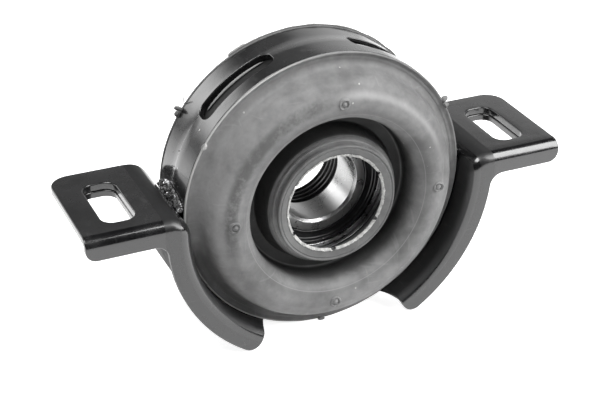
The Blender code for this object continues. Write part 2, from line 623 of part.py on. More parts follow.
def make_groove_bead(name, side, finish, axis):
    """Rippled weld bead in the groove between the ring and the bracket's bend."""
    centre_x, centre_z = bend_centre()
    stations = 3 * BEAD_RIPPLES
    sections = []
    for k in range(stations + 1):
        share = k / stations
        y = BEAD_FRONT_Y + (BEAD_REAR_Y - BEAD_FRONT_Y) * share
        taper = max(sin(pi * min(max(share, 0.04), 0.96)), 0.0) ** BEAD_TAPER
        swell = BEAD_RIPPLE * cos(2 * pi * BEAD_RIPPLES * share)
        ring_side = ring_surface(y) + GAP
        root = BEAD_ROOT
        toe = root + (BEAD_TOE - root) * taper
        low = (ring_side * cos(root), ring_side * sin(root))
        high = (ring_side * cos(toe), ring_side * sin(toe))
        bend_radius = EAR_BEND + GAP
        seat = []
        for height in (low[1], (low[1] + high[1]) / 2):
            drop = asin((height - centre_z) / bend_radius)
            seat.append((centre_x - bend_radius * cos(drop), height))
        crown_x = (high[0] + seat[1][0]) / 2
        crown_z = (high[1] + seat[1][1]) / 2 + (BEAD_CROWN * taper + swell)
        outline = [low, ((low[0] + high[0]) / 2 + BEAD_BULGE, (low[1] + high[1]) / 2), high,
                   (crown_x, crown_z), seat[1], seat[0]]
        sections.append([(side * px, y, pz) for px, pz in outline])
    add_piece(name, lofted(sections), finish, axis)


def make_toe_weld(name, side, finish, axis):
    """Fillet weld behind the leg, from the web's rear edge down to the ring."""
    stations = 10
    sections = []
    for k in range(stations + 1):
        share = k / stations
        angle = TOE_WELD_START + (TOE_WELD_END - TOE_WELD_START) * share
        fullness = sin(pi * min(max(share, 0.05), 0.95)) ** 0.4
        leg = TOE_WELD_LEG * (TOE_WELD_TIP + (1 - TOE_WELD_TIP) * fullness)
        edge_y = WEB_REAR_Y + (WEB_TOE_Y - WEB_REAR_Y) * angle / LEG_END + GAP
        seat = RING_REAR_RADIUS + GAP
        throat = TOE_WELD_THROAT * leg
        profile = [(seat, edge_y), (seat, edge_y + TOE_WELD_REACH * leg), (seat + throat, edge_y + throat),
                   (seat + leg, edge_y)]
        sections.append([(side * r * cos(angle), y, r * sin(angle)) for r, y in profile])
    add_piece(name, lofted(sections), finish, axis)


def main():
    clear_scene()
    axis = bpy.data.objects.new("bearing_axis", None)
    bpy.context.scene.collection.objects.link(axis)
    axis.location = (0.0, -CENTRE_Y, AXIS_HEIGHT)

    black_paint = material("black_paint", (0.025, 0.025, 0.027), 0.30)
    rubber = material("cushion_rubber", (0.16, 0.16, 0.16), 0.72)
    seal_rubber = material("seal_rubber", (0.02, 0.02, 0.02), 0.45)
    ground_steel = material("ground_steel", (0.62, 0.62, 0.62), 0.18, 1.0)
    sleeve_steel = material("sleeve_steel", (0.30, 0.30, 0.31), 0.40, 1.0)
    weld_metal = material("weld_metal", (0.45, 0.45, 0.46), 0.35, 1.0)
    nylon = material("cage_nylon", (0.75, 0.72, 0.62), 0.55)

    make_ring(black_paint, axis)
    for side, word in ((-1, "left"), (1, "right")):
        make_bracket(f"{word}_bracket", side, black_paint, axis)
        make_second_plate(f"{word}_second_plate", side, black_paint, axis)
        make_groove_bead(f"{word}_groove_weld", side, weld_metal, axis)
        make_toe_weld(f"{word}_toe_weld", side, weld_metal, axis)
    make_cushion(rubber, axis)
    make_sleeve(sleeve_steel, axis)
    make_races(ground_steel, axis)
    make_balls(ground_steel, axis)
    make_cage(nylon, axis)
    make_seals(seal_rubber, axis)
    make_dust_seal(seal_rubber, axis)


main()
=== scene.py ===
"""Detailed look of a driveshaft centre bearing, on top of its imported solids.

Every piece is modelled round the bearing axis: the axis is Y through the origin, the
front faces -Y, and Y is measured from just before the pressed ring's front edge. A
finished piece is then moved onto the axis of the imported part. Lengths are in metres.
"""
from math import asin, atan2, ceil, cos, hypot, pi, radians, sin, sqrt, tan

import bmesh
import bpy
from bpy.props import FloatProperty, FloatVectorProperty, IntProperty, PointerProperty
from mathutils import Matrix, Vector, noise


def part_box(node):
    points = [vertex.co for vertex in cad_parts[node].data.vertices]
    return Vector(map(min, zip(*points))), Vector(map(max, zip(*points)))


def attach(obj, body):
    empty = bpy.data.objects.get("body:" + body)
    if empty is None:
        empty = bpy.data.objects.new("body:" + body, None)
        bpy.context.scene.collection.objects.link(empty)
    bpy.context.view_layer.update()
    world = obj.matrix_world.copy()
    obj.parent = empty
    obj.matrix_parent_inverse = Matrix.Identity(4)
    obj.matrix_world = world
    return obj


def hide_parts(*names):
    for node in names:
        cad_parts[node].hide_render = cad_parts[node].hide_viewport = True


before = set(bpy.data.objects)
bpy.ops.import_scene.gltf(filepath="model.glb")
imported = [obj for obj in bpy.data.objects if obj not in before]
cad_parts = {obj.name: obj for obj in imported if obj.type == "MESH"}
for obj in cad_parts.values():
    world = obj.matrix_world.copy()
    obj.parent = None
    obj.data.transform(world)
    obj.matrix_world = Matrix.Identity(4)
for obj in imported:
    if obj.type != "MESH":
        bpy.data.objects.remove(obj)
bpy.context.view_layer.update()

bl_info = {
    "name": "Driveshaft centre bearing",
    "version": (1, 0, 0),
    "blender": (4, 5, 0),
    "location": "3D View > Sidebar > Centre bearing",
    "description": "Models the ring, brackets, cushion and ball bearing, and sets up the studio",
    "category": "Mesh",
}

MM = 0.001
GAP = 0.3 * MM
RING_LOW, RING_HIGH = (Vector(corner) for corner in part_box("outer_ring"))
RING_RADIUS = (RING_HIGH.z - RING_LOW.z) / 2
RING_FRONT_Y = 0.6 * MM
RING_DEPTH = RING_HIGH.y - RING_LOW.y
RING_STEP = 0.8 * MM
RING_STEP_Y = 15.0 * MM
CREASE = 0.12 * MM                 # part of the ring's step that is a sharp crease
CREASE_LENGTH = 0.6 * MM
STEP_LENGTH = 9.0 * MM
AXIS = Vector(((RING_LOW.x + RING_HIGH.x) / 2, RING_LOW.y - RING_FRONT_Y,
               (RING_LOW.z + RING_HIGH.z) / 2))
SLOT_ANGLES = (radians(125), radians(58.5))
VENT_ANGLES = (radians(29), radians(149), radians(269))
NOTCH_ANGLES = tuple(radians(28 + 60 * k) for k in range(6))


# ---------------------------------------------------------------- settings

def length(name, description, default):
    return FloatProperty(name=name, description=description, default=default, unit='LENGTH',
                         precision=5)


def colour(name, description, default):
    return FloatVectorProperty(name=name, description=description, default=default, size=3,
                               subtype='COLOR', min=0.0, max=1.0)


class FinishSettings(bpy.types.PropertyGroup):
    paint: colour("Paint", "Colour of the dipped paint on ring and brackets", (0.0045, 0.0045, 0.0048))
    rubber: colour("Cushion rubber", "Colour of the moulded cushion", (0.158, 0.158, 0.158))
    trim: colour("Trimmed edge", "Colour of the cut rubber round the mouth", (0.40, 0.40, 0.39))
    seal: colour("Seal rubber", "Colour of the seals", (0.016, 0.016, 0.017))
    steel: colour("Ground steel", "Colour of races and balls", (0.45, 0.45, 0.45))
    sleeve: colour("Sleeve steel", "Colour of the pressed sleeve", (0.34, 0.34, 0.35))
    weld: colour("Weld metal", "Colour of the bare welds", (0.42, 0.42, 0.43))
    nylon: colour("Cage nylon", "Colour of the ball cage", (0.72, 0.69, 0.60))


class RingSettings(bpy.types.PropertyGroup):
    wall: length("Wall", "Sheet thickness of the pressed ring", 2.5 * MM)
    slot_width: length("Slot width", "Width of the two long slots", 10.3 * MM)
    slot_y: length("Slot place", "Middle of the slots behind the front", 12.2 * MM)
    slot_span: FloatProperty(name="Slot span", description="Angle that a slot covers",
                             default=radians(34.4), subtype='ANGLE')
    rim: length("Rim rounding", "Rounding of the ring's cut edges", 0.32 * MM)


class CushionSettings(bpy.types.PropertyGroup):
    crown_y: length("Crown", "Front of the rolled crown", -12.4 * MM)
    wall: length("Wall", "Thickness of the rolled wall", 4.5 * MM)
    lip_radius: length("Boot lip", "Outer radius of the boot's front lip", 24.3 * MM)
    lip_width: length("Boot lip width", "Width of the boot's front face", 4.7 * MM)
    nub_radius: length("Nub circle", "Radius on which the moulding nubs lie", 42.3 * MM)
    steps: IntProperty(name="Steps", description="Facets round the cushion", default=400,
                       min=64, max=512)


class BracketSettings(bpy.types.PropertyGroup):
    plate: length("Plate", "Sheet thickness of the main plate", 3.0 * MM)
    second_plate: length("Second plate", "Sheet thickness of the second plate", 2.8 * MM)
    slot_width: length("Slot width", "Width of the bolt slots", 12.7 * MM)
    slot_length: length("Slot length", "Length of the bolt slots", 29.5 * MM)
    rim: length("Rim rounding", "Rounding of the plates' cut edges", 0.5 * MM)


class BearingSettings(bpy.types.PropertyGroup):
    bore: length("Bore radius", "Radius of the inner race's bore", 15.0 * MM)
    outer: length("Outer radius", "Outer radius of the outer race", 31.0 * MM)
    balls: IntProperty(name="Balls", description="Number of balls", default=9, min=5, max=12)
    chamfer: length("Chamfer", "Edge break of the races", 1.0 * MM)


class StageSettings(bpy.types.PropertyGroup):
    floor: colour("Floor", "Colour of the floor and backdrop", (0.86, 0.86, 0.86))
    key: FloatProperty(name="Key light", description="Power of the large panel at the front right",
                       default=15.0, unit='POWER')
    rim: FloatProperty(name="Rim glow", description="Brightness of the glow behind on the left",
                       default=3.0)
    fill: FloatProperty(name="Fill light", description="Power of the overhead panel", default=10.0,
                        unit='POWER')
    ambient: FloatProperty(name="Ambient", description="Even light from all round", default=0.11)
    lens: FloatProperty(name="Lens", description="Focal length of the camera in millimetres",
                        default=85.61)


SETTINGS = {
    "bearing_finish": FinishSettings, "bearing_ring": RingSettings,
    "bearing_cushion": CushionSettings, "bearing_bracket": BracketSettings,
    "bearing_races": BearingSettings, "bearing_stage": StageSettings,
}


# ---------------------------------------------------------------- modelling helpers

def select_only(piece):
    bpy.ops.object.select_all(action='DESELECT')
    piece.select_set(True)
    bpy.context.view_layer.objects.active = piece


def edit(piece):
    select_only(piece)
    bpy.ops.object.mode_set(mode='EDIT')
    bpy.ops.mesh.select_all(action='SELECT')


def leave():
    bpy.ops.object.mode_set(mode='OBJECT')


def drawn(name, points):
    """Draws a closed outline by extruding one vertex from point to point, in edit mode."""
    piece = added(bpy.ops.mesh.primitive_plane_add, name, size=MM)
    edit(piece)
    bpy.ops.mesh.merge(type='CENTER')
    bpy.ops.transform.translate(value=points[0])
    for here, there in zip(points, points[1:]):
        bpy.ops.mesh.extrude_vertices_move(TRANSFORM_OT_translate={"value": there - here})
    bm = bmesh.from_edit_mesh(piece.data)
    bm.verts.ensure_lookup_table()
    ends = [v for v in bm.verts if len(v.link_edges) == 1]
    for v in bm.verts:
        v.select = v in ends
    bm.select_flush_mode()
    bpy.ops.mesh.edge_face_add()
    bpy.ops.mesh.select_all(action='SELECT')
    return piece


def tidy_mesh():
    """Merges doubles and turns every face outwards, in edit mode."""
    bpy.ops.mesh.select_all(action='SELECT')
    bpy.ops.mesh.remove_doubles(threshold=1e-6)
    bpy.ops.mesh.normals_make_consistent(inside=False)


def tidied(piece):
    """Tidies the mesh of a piece that is in object mode."""
    edit(piece)
    tidy_mesh()
    leave()
    return piece


def added(primitive, name, **settings):
    """Adds a primitive by itself, with nothing else selected."""
    bpy.ops.object.select_all(action='DESELECT')
    primitive(**settings)
    made = bpy.context.object
    made.name = made.data.name = name
    return made


def turned(name, outline, steps=256):
    """Spins a closed outline of (radius, y) points round the bearing axis."""
    piece = drawn(name, [Vector((radius, y, 0.0)) for radius, y in outline])
    bpy.ops.mesh.spin(steps=steps, angle=2 * pi, center=(0, 0, 0), axis=(0, 1, 0))
    tidy_mesh()
    leave()
    return piece


def blank(name, outline, depth, top=0.0):
    """Flat sheet: an outline of (along, across) points, with its top at Z = top."""
    piece = drawn(name, [Vector((along, across, top)) for along, across in outline])
    bpy.ops.mesh.edge_face_add()
    bpy.ops.mesh.extrude_region_move(TRANSFORM_OT_translate={"value": (0, 0, -depth)})
    tidy_mesh()
    leave()
    return piece


def cut(piece, cutter):
    """Takes the cutter out of the piece and deletes it."""
    select_only(piece)
    knife = piece.modifiers.new("cut", 'BOOLEAN')
    knife.operation = 'DIFFERENCE'
    knife.solver = 'EXACT'
    knife.object = cutter
    bpy.ops.object.modifier_apply(modifier=knife.name)
    bpy.data.objects.remove(cutter)


def round_rims(piece, width):
    """Rounds the upper and lower edges of a flat sheet and of its holes."""
    edit(piece)
    bpy.ops.mesh.select_mode(type='EDGE')
    bm = bmesh.from_edit_mesh(piece.data)
    for edge in bm.edges:
        low, high = (v.co.z for v in edge.verts)
        walls = sum(abs(face.normal.z) < 0.5 for face in edge.link_faces)
        edge.select = abs(low - high) < 1e-7 and walls == 1
    bm.select_flush_mode()
    bpy.ops.mesh.bevel(offset=width, segments=3, affect='EDGES', clamp_overlap=True)
    bpy.ops.mesh.select_mode(type='VERT')
    leave()


def score(piece, along, across):
    """Cuts fold lines over a flat sheet, so that it can bend there."""
    edit(piece)
    for values, direction in ((along, (1, 0, 0)), (across, (0, 1, 0))):
        for value in values:
            bpy.ops.mesh.select_all(action='SELECT')
            place = [value * part for part in direction]
            bpy.ops.mesh.bisect(plane_co=place, plane_no=direction)
    leave()


def form(piece, place):
    """Bends a flat sheet: place(along, across, depth) gives each point's new position."""
    for vertex in piece.data.vertices:
        along, across, level = vertex.co
        vertex.co = place(along, across, -level)
    tidied(piece)


def even_normals(piece):
    """Keeps flat faces flat beside their rounded edges."""
    select_only(piece)
    even = piece.modifiers.new("even", 'WEIGHTED_NORMAL')
    even.keep_sharp = True
    bpy.ops.object.modifier_apply(modifier=even.name)


def hand_over(piece, body, finish, stands_for=(), smooth=38, even=True):
    """Moves a piece onto the part's axis, gives it its finish and lets it ride on a body."""
    select_only(piece)
    bpy.ops.object.shade_smooth_by_angle(angle=radians(smooth))
    bpy.ops.transform.translate(value=AXIS)
    bpy.ops.object.transform_apply(location=True, rotation=True, scale=True)
    if even:
        even_normals(piece)
    piece.data.materials.clear()
    piece.data.materials.append(finish)
    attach(piece, body)
    if stands_for:
        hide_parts(*stands_for)
    return piece


def join(name, parts):
    select_only(parts[0])
    for part in parts:
        part.select_set(True)
    if len(parts) > 1:
        bpy.ops.object.join()
    joined = bpy.context.object
    joined.name = joined.data.name = name
    return joined


def rounded(corners, finest=10):
    """Closed outline from corners (u, v, rounding); an arc's step is at most finest degrees."""
    count = len(corners)
    sides = [hypot(corners[(i + 1) % count][0] - corners[i][0],
                   corners[(i + 1) % count][1] - corners[i][1]) for i in range(count)]
    turns, reaches = [], []
    for i, (u, v, radius) in enumerate(corners):
        before, after = corners[i - 1], corners[(i + 1) % count]
        heading = atan2(v - before[1], u - before[0])
        turn = (atan2(after[1] - v, after[0] - u) - heading + pi) % (2 * pi) - pi
        turns.append((heading, turn))
        reaches.append(radius * tan(abs(turn) / 2))
    outline = []
    for i, (u, v, radius) in enumerate(corners):
        fit = min(1.0, 0.98 * sides[i - 1] / max(reaches[i - 1] + reaches[i], 1e-9),
                  0.98 * sides[i] / max(reaches[i] + reaches[(i + 1) % count], 1e-9))
        radius, reach = radius * fit, reaches[i] * fit
        heading, turn = turns[i]
        if reach < 1e-6:
            outline.append((u, v))
            continue
        side = 1 if turn > 0 else -1
        start_u, start_v = u - reach * cos(heading), v - reach * sin(heading)
        centre_u = start_u - side * radius * sin(heading)
        centre_v = start_v + side * radius * cos(heading)
        steps = max(2, ceil(abs(turn) / radians(finest)))
        for k in range(steps + 1):
            angle = heading + turn * k / steps
            outline.append((centre_u + side * radius * sin(angle),
                            centre_v - side * radius * cos(angle)))
    return outline


def scaled(points):
    """Millimetres to metres, in every number of a list of points."""
    return [tuple(MM * value for value in point) for point in points]


def steps_between(low, high, step):
    count = max(1, ceil((high - low) / step))
    return [low + (high - low) * k / count for k in range(count + 1)]


def smooth_step(value):
    value = min(max(value, 0.0), 1.0)
    return value * value * (3 - 2 * value)


# ---------------------------------------------------------------- shader groups

def new_group(name, inputs, outputs):
    tree = bpy.data.node_groups.new(name, 'ShaderNodeTree')
    for label, kind, default in inputs:
        socket = tree.interface.new_socket(label, in_out='INPUT', socket_type=kind)
        if default is not None:
            socket.default_value = default
    for label, kind in outputs:
        tree.interface.new_socket(label, in_out='OUTPUT', socket_type=kind)
    return tree, tree.nodes.new('NodeGroupInput'), tree.nodes.new('NodeGroupOutput')


def node(tree, kind, label="", **settings):
    made = tree.nodes.new(kind)
    made.label = label
    for key, value in settings.items():
        setattr(made, key, value)
    return made


def maths(tree, operation, first, second=None, clamp=False):
    made = node(tree, 'ShaderNodeMath', operation=operation, use_clamp=clamp)
    for socket, value in zip(made.inputs, (first, second)):
        if value is None:
            continue
        if isinstance(value, bpy.types.NodeSocket):
            tree.links.new(value, socket)
        else:
            socket.default_value = value
    return made.outputs[0]


def noise_value(tree, coordinates, scale, detail=3.0, roughness=0.5, stretch=None):
    """Noise over the coordinates, from 0 to 1; stretch multiplies them along X, Y and Z."""
    if stretch is not None:
        mapping = node(tree, 'ShaderNodeMapping')
        mapping.inputs['Scale'].default_value = stretch
        tree.links.new(coordinates, mapping.inputs['Vector'])
        coordinates = mapping.outputs[0]
    made = node(tree, 'ShaderNodeTexNoise')
    made.inputs['Detail'].default_value = detail
    made.inputs['Roughness'].default_value = roughness
    tree.links.new(coordinates, made.inputs['Vector'])
    if isinstance(scale, bpy.types.NodeSocket):
        tree.links.new(scale, made.inputs['Scale'])
    else:
        made.inputs['Scale'].default_value = scale
    return made.outputs['Fac']


def ranged(tree, value, low, high, new_low=0.0, new_high=1.0):
    made = node(tree, 'ShaderNodeMapRange', interpolation_type='SMOOTHSTEP')
    tree.links.new(value, made.inputs['Value'])
    for label, number in (('From Min', low), ('From Max', high),
                          ('To Min', new_low), ('To Max', new_high)):
        made.inputs[label].default_value = number
    return made.outputs['Result']


def dust_group():
    """Sparse light specks: mask 1 on a speck."""
    tree, given, out = new_group("dust specks", [
        ("Vector", 'NodeSocketVector', None), ("Scale", 'NodeSocketFloat', 260.0),
        ("Size", 'NodeSocketFloat', 0.10)], [("Mask", 'NodeSocketFloat')])
    cells = node(tree, 'ShaderNodeTexVoronoi')
    tree.links.new(given.outputs['Vector'], cells.inputs['Vector'])
    tree.links.new(given.outputs['Scale'], cells.inputs['Scale'])
    near = maths(tree, 'LESS_THAN', cells.outputs['Distance'], given.outputs['Size'])
    chosen = node(tree, 'ShaderNodeSeparateColor')
    tree.links.new(cells.outputs['Color'], chosen.inputs[0])
    rare = maths(tree, 'GREATER_THAN', chosen.outputs[0], 0.93)
    tree.links.new(maths(tree, 'MULTIPLY', near, rare), out.inputs['Mask'])
    return tree


def mottle_group():
    """Blotches of two sizes, for bloom, oil film and handling marks."""
    tree, given, out = new_group("mottle", [
        ("Vector", 'NodeSocketVector', None), ("Scale", 'NodeSocketFloat', 60.0)],
        [("Value", 'NodeSocketFloat')])
    large = noise_value(tree, given.outputs['Vector'], given.outputs['Scale'], 4.0, 0.55)
    small = noise_value(tree, given.outputs['Vector'],
                        maths(tree, 'MULTIPLY', given.outputs['Scale'], 5.3), 3.0, 0.6)
    both = maths(tree, 'ADD', product(tree, large, 0.7), product(tree, small, 0.3))
    tree.links.new(ranged(tree, both, 0.32, 0.68), out.inputs['Value'])
    return tree


def grain_group():
    """Fine surface grain for bump, with broad waviness under it."""
    tree, given, out = new_group("surface grain", [
        ("Vector", 'NodeSocketVector', None), ("Fine", 'NodeSocketFloat', 2500.0),
        ("Broad", 'NodeSocketFloat', 180.0), ("Broad share", 'NodeSocketFloat', 0.5)],
        [("Height", 'NodeSocketFloat')])
    fine = noise_value(tree, given.outputs['Vector'], given.outputs['Fine'], 2.0, 0.5)
    broad = noise_value(tree, given.outputs['Vector'], given.outputs['Broad'], 2.0, 0.5)
    share = given.outputs['Broad share']
    rest = maths(tree, 'SUBTRACT', 1.0, share)
    mixed = maths(tree, 'ADD', product(tree, broad, share), product(tree, fine, rest))
    tree.links.new(mixed, out.inputs['Height'])
    return tree


def scratch_group():
    """Thin random scratches in two directions: mask 1 on a scratch."""
    tree, given, out = new_group("hairline scratches", [
        ("Vector", 'NodeSocketVector', None), ("Scale", 'NodeSocketFloat', 90.0)],
        [("Mask", 'NodeSocketFloat')])
    masks = []
    for turn, stretch in (((0.4, 0.7, 0.2), (9, 1, 1)), ((1.3, 0.2, 1.1), (1, 1, 11))):
        mapping = node(tree, 'ShaderNodeMapping')
        mapping.inputs['Rotation'].default_value = turn
        mapping.inputs['Scale'].default_value = stretch
        tree.links.new(given.outputs['Vector'], mapping.inputs['Vector'])
        lines = noise_value(tree, mapping.outputs[0], given.outputs['Scale'], 1.0, 0.4)
        masks.append(ranged(tree, lines, 0.70, 0.76))
    tree.links.new(maths(tree, 'MAXIMUM', *masks), out.inputs['Mask'])
    return tree


def place_group():
    """Where a point lies, in millimetres: off the axis, behind the front, left to right, up."""
    tree, given, out = new_group("place on part", [("Vector", 'NodeSocketVector', None)],
                                 [("Radius", 'NodeSocketFloat'), ("Depth", 'NodeSocketFloat'),
                                  ("Across", 'NodeSocketFloat'), ("Height", 'NodeSocketFloat')])
    moved = node(tree, 'ShaderNodeVectorMath', operation='SUBTRACT')
    tree.links.new(given.outputs['Vector'], moved.inputs[0])
    moved.inputs[1].default_value = AXIS
    parts = node(tree, 'ShaderNodeSeparateXYZ')
    tree.links.new(moved.outputs[0], parts.inputs[0])
    across = maths(tree, 'MULTIPLY', parts.outputs['X'], 1000.0)
    height = maths(tree, 'MULTIPLY', parts.outputs['Z'], 1000.0)
    squares = maths(tree, 'ADD', maths(tree, 'MULTIPLY', across, across),
                    maths(tree, 'MULTIPLY', height, height))
    tree.links.new(maths(tree, 'SQRT', squares), out.inputs['Radius'])
    tree.links.new(maths(tree, 'MULTIPLY', parts.outputs['Y'], 1000.0), out.inputs['Depth'])
    tree.links.new(across, out.inputs['Across'])
    tree.links.new(height, out.inputs['Height'])
    return tree


GROUP_MAKERS = {"dust specks": dust_group, "mottle": mottle_group, "surface grain": grain_group,
                "hairline scratches": scratch_group, "place on part": place_group}


def group_node(tree, name, vector):
    """Puts a shared shader group into a material."""
    made = node(tree, 'ShaderNodeGroup', name)
    made.node_tree = bpy.data.node_groups.get(name) or GROUP_MAKERS[name]()
    tree.links.new(vector, made.inputs['Vector'])
    return made


def placed_group(tree, name, vector, **values):
    """First output of a shared shader group; values sets its inputs."""
    made = group_node(tree, name, vector)
    for label, value in values.items():
        made.inputs[label.replace("_", " ").capitalize()].default_value = value
    return made.outputs[0]


def banded(tree, value, low, high, soft):
    """Mask that is 1 between low and high, with soft ends."""
    rise = ranged(tree, value, low - soft, low + soft)
    fall = ranged(tree, value, high - soft, high + soft, 1.0, 0.0)
    return maths(tree, 'MULTIPLY', rise, fall)


def placed(tree, vector):
    """Radius, depth, width and height of a point on the part, in millimetres."""
    return group_node(tree, "place on part", vector).outputs


def mixed_colour(tree, factor, first, second):
    made = node(tree, 'ShaderNodeMix', data_type='RGBA')
    for socket, value in ((made.inputs[0], factor), (made.inputs[6], first), (made.inputs[7], second)):
        if isinstance(value, bpy.types.NodeSocket):
            tree.links.new(value, socket)
        elif isinstance(value, (int, float)):
            socket.default_value = value
        else:
            socket.default_value = (*value, 1.0)
    return made.outputs[2]


def bumped(tree, height, distance, strength=1.0):
    made = node(tree, 'ShaderNodeBump')
    made.inputs['Strength'].default_value = strength
    made.inputs['Distance'].default_value = distance
    tree.links.new(height, made.inputs['Height'])
    return made.outputs[0]


def shade(colour, factor):
    return tuple(min(channel * factor, 1.0) for channel in colour)


def product(tree, *values):
    """Masks and numbers multiplied together."""
    result = values[0]
    for value in values[1:]:
        result = maths(tree, 'MULTIPLY', result, value)
    return result


class Look:
    """A material in the making: its nodes, its shader and the object's coordinates."""

    def __init__(self, name, roughness, metallic=0.0):
        self.material = bpy.data.materials.new(name)
        self.material.use_nodes = True
        self.tree = self.material.node_tree
        self.shader = self.tree.nodes["Principled BSDF"]
        self.vector = node(self.tree, 'ShaderNodeTexCoord').outputs['Object']
        self.give('Roughness', roughness)
        self.give('Metallic', metallic)

    def give(self, label, value):
        """Sets a number on the shader, or links a value to it."""
        socket = self.shader.inputs[label]
        if isinstance(value, bpy.types.NodeSocket):
            self.tree.links.new(value, socket)
        else:
            socket.default_value = value

    def group(self, name, **values):
        return placed_group(self.tree, name, self.vector, **values)

    def ranged(self, value, *limits):
        return ranged(self.tree, value, *limits)

    def product(self, *values):
        return product(self.tree, *values)

    def sum(self, first, second, clamp=False):
        return maths(self.tree, 'ADD', first, second, clamp=clamp)

    def either(self, *masks):
        result = masks[0]
        for mask in masks[1:]:
            result = maths(self.tree, 'MAXIMUM', result, mask)
        return result

    def mixed(self, mask, first, second):
        return mixed_colour(self.tree, mask, first, second)

    def tinted(self, tone, mask, share, colour):
        """Lays a share of a colour over the tone where the mask is."""
        return self.mixed(self.product(mask, share), tone, colour)

    def grained(self, distance, **values):
        """Bump of fine grain and broad waviness, distance deep."""
        self.give('Normal', bumped(self.tree, self.group("surface grain", **values), distance))


class Places:
    """Masks by place on the part, in millimetres from the bearing axis and the ring's front."""

    def __init__(self, look):
        self.look = look
        self.spot = placed(look.tree, look.vector)

    def rise(self, label, low, high):
        return self.look.ranged(self.spot[label], low, high)

    def fall(self, label, low, high, least=0.0):
        return self.look.ranged(self.spot[label], low, high, 1.0, least)

    def band(self, label, low, high, soft):
        return banded(self.look.tree, self.spot[label], low, high, soft)


def grey(level):
    return (level, level, level)


def finish_settings():
    return bpy.context.scene.bearing_finish


def finish(name, roughness):
    """Makes a look's function give its material, which is made at the first use."""
    def wrap(set_up):
        def material():
            if name not in bpy.data.materials:
                set_up(Look(name, roughness))
            return bpy.data.materials[name]
        return material
    return wrap


@finish("black dip paint", 0.24)
def painted(look):
    """Gloss dip paint: slight orange peel, hairlines and dust, dull where it is sheltered."""
    base = tuple(finish_settings().paint)
    film = look.group("mottle", scale=45.0)
    scratches = look.group("hairline scratches", scale=140.0)
    dust = look.group("dust specks", scale=210.0, size=0.085)
    tone = look.mixed(film, shade(base, 0.8), shade(base, 1.5))
    tone = look.tinted(tone, scratches, 0.10, grey(0.12))
    look.give('Base Color', look.tinted(tone, dust, 0.8, (0.62, 0.62, 0.60)))
    place = Places(look)
    web_front = look.product(place.band('Radius', 56.8, 59.6, 0.3), place.fall('Depth', -2.0, 1.0))
    web_back = look.product(place.band('Radius', 62.2, 68.5, 0.4), place.rise('Depth', -12.0, -8.0),
                            place.fall('Height', 8.0, 12.0))
    sheltered = look.either(web_front, web_back)
    look.give('Coat Weight', look.product(maths(look.tree, 'SUBTRACT', 1.0, sheltered), 0.8))
    look.give('Coat Roughness', 0.10)
    rough = look.sum(look.ranged(film, 0.0, 1.0, 0.18, 0.30), look.product(dust, 0.5))
    look.give('Roughness', look.sum(rough, look.product(sheltered, 0.32), clamp=True))
    look.grained(0.00012, fine=1500.0, broad=120.0, broad_share=0.85)


def rubber_places(look, base, smear):
    """Tones of the cushion by place, as (mask, share, colour): wear, the parting line and the pale torn
    flash, besides painted shade in the recess, the slots, on the slope, the lip and the lower rim, and
    painted highlights on the crown's ridge, the rim's edge and the slot ribs.
    """
    place, where = Places(look), look.product
    worn_crown = where(place.band('Radius', 41.6, 45.6, 1.1), place.fall('Across', -14.0, 4.0),
                       place.rise('Height', -16.0, -2.0), look.ranged(smear, 0.0, 0.8, 0.25, 0.75))
    # painted highlight: lighter band on the crown's ridge at the upper right, where the key light's
    # sheen falls
    crown_ridge_highlight = where(place.rise('Across', -8.0, 8.0), place.rise('Height', 6.0, 26.0),
                   place.band('Radius', 43.9, 45.9, 1.3))
    # painted shade: the recess wall, the boot's cone and the floors of the slots are darkened almost to
    # black, where they lie in shadow
    recess_wall_shade = where(place.rise('Depth', -11.0, 1.6), place.band('Radius', 33.2, 36.8, 0.6))
    boot = where(place.rise('Depth', -9.2, -4.0), place.band('Radius', 25.9, 33.2, 0.6), 0.95)
    slot_floor_shade = where(place.rise('Depth', 0.8, 1.6), place.band('Radius', 53.6, 54.95, 0.12),
                       place.fall('Depth', 26.5, 27.5))
    # painted shade: the crown's inner slope is darker towards the recess
    slope_shade = where(place.band('Radius', 33.0, 39.5, 2.2), place.fall('Depth', -12.0, -10.2))
    # painted shade: the face of the boot's lip is darker
    lip = where(place.fall('Radius', 24.4, 26.0), place.fall('Depth', -9.0, -8.0))
    # painted shadow: the rim and flank are darker at the lower left, below the bracket
    lower_rim_shadow = where(place.fall('Across', -40.0, -14.0), place.fall('Height', -18.0, -6.0),
                      place.rise('Radius', 50.5, 54.0))
    parting = where(place.band('Radius', 37.25, 37.45, 0.12), place.fall('Depth', -6.0, -5.0))
    # painted highlight: pale line along the rim's outer edge on the left side
    rim_edge_highlight = where(place.band('Radius', 56.9, 58.0, 0.25), place.fall('Depth', -0.2, 0.6),
                     place.fall('Across', -26.0, 2.0, 0.1))
    torn = where(place.rise('Radius', 57.3, 57.6), place.rise('Depth', 27.6, 28.0))
    # painted highlight: pale line along the rubber rib in each slot
    slot_rib_highlight = where(place.band('Radius', 55.1, 56.2, 0.1), place.band('Depth', 14.0, 18.0, 0.3), 0.5)
    # the pale grey lies on the torn flash, which is pale rubber, and as painted highlight on the rim's
    # edge and the slot ribs; the near black and dark greys are painted shade
    return [(worn_crown, 1.0, shade(base, 0.42)), (crown_ridge_highlight, 0.45, shade(base, 1.9)),
            (look.either(recess_wall_shade, boot, slot_floor_shade), 0.95, grey(0.012)),
            (slope_shade, 0.32, grey(0.03)), (lip, 0.34, grey(0.03)), (lower_rim_shadow, 0.8, grey(0.02)),
            (parting, 0.35, grey(0.3)), (look.either(rim_edge_highlight, torn, slot_rib_highlight), 0.6, (0.5, 0.5, 0.49))]


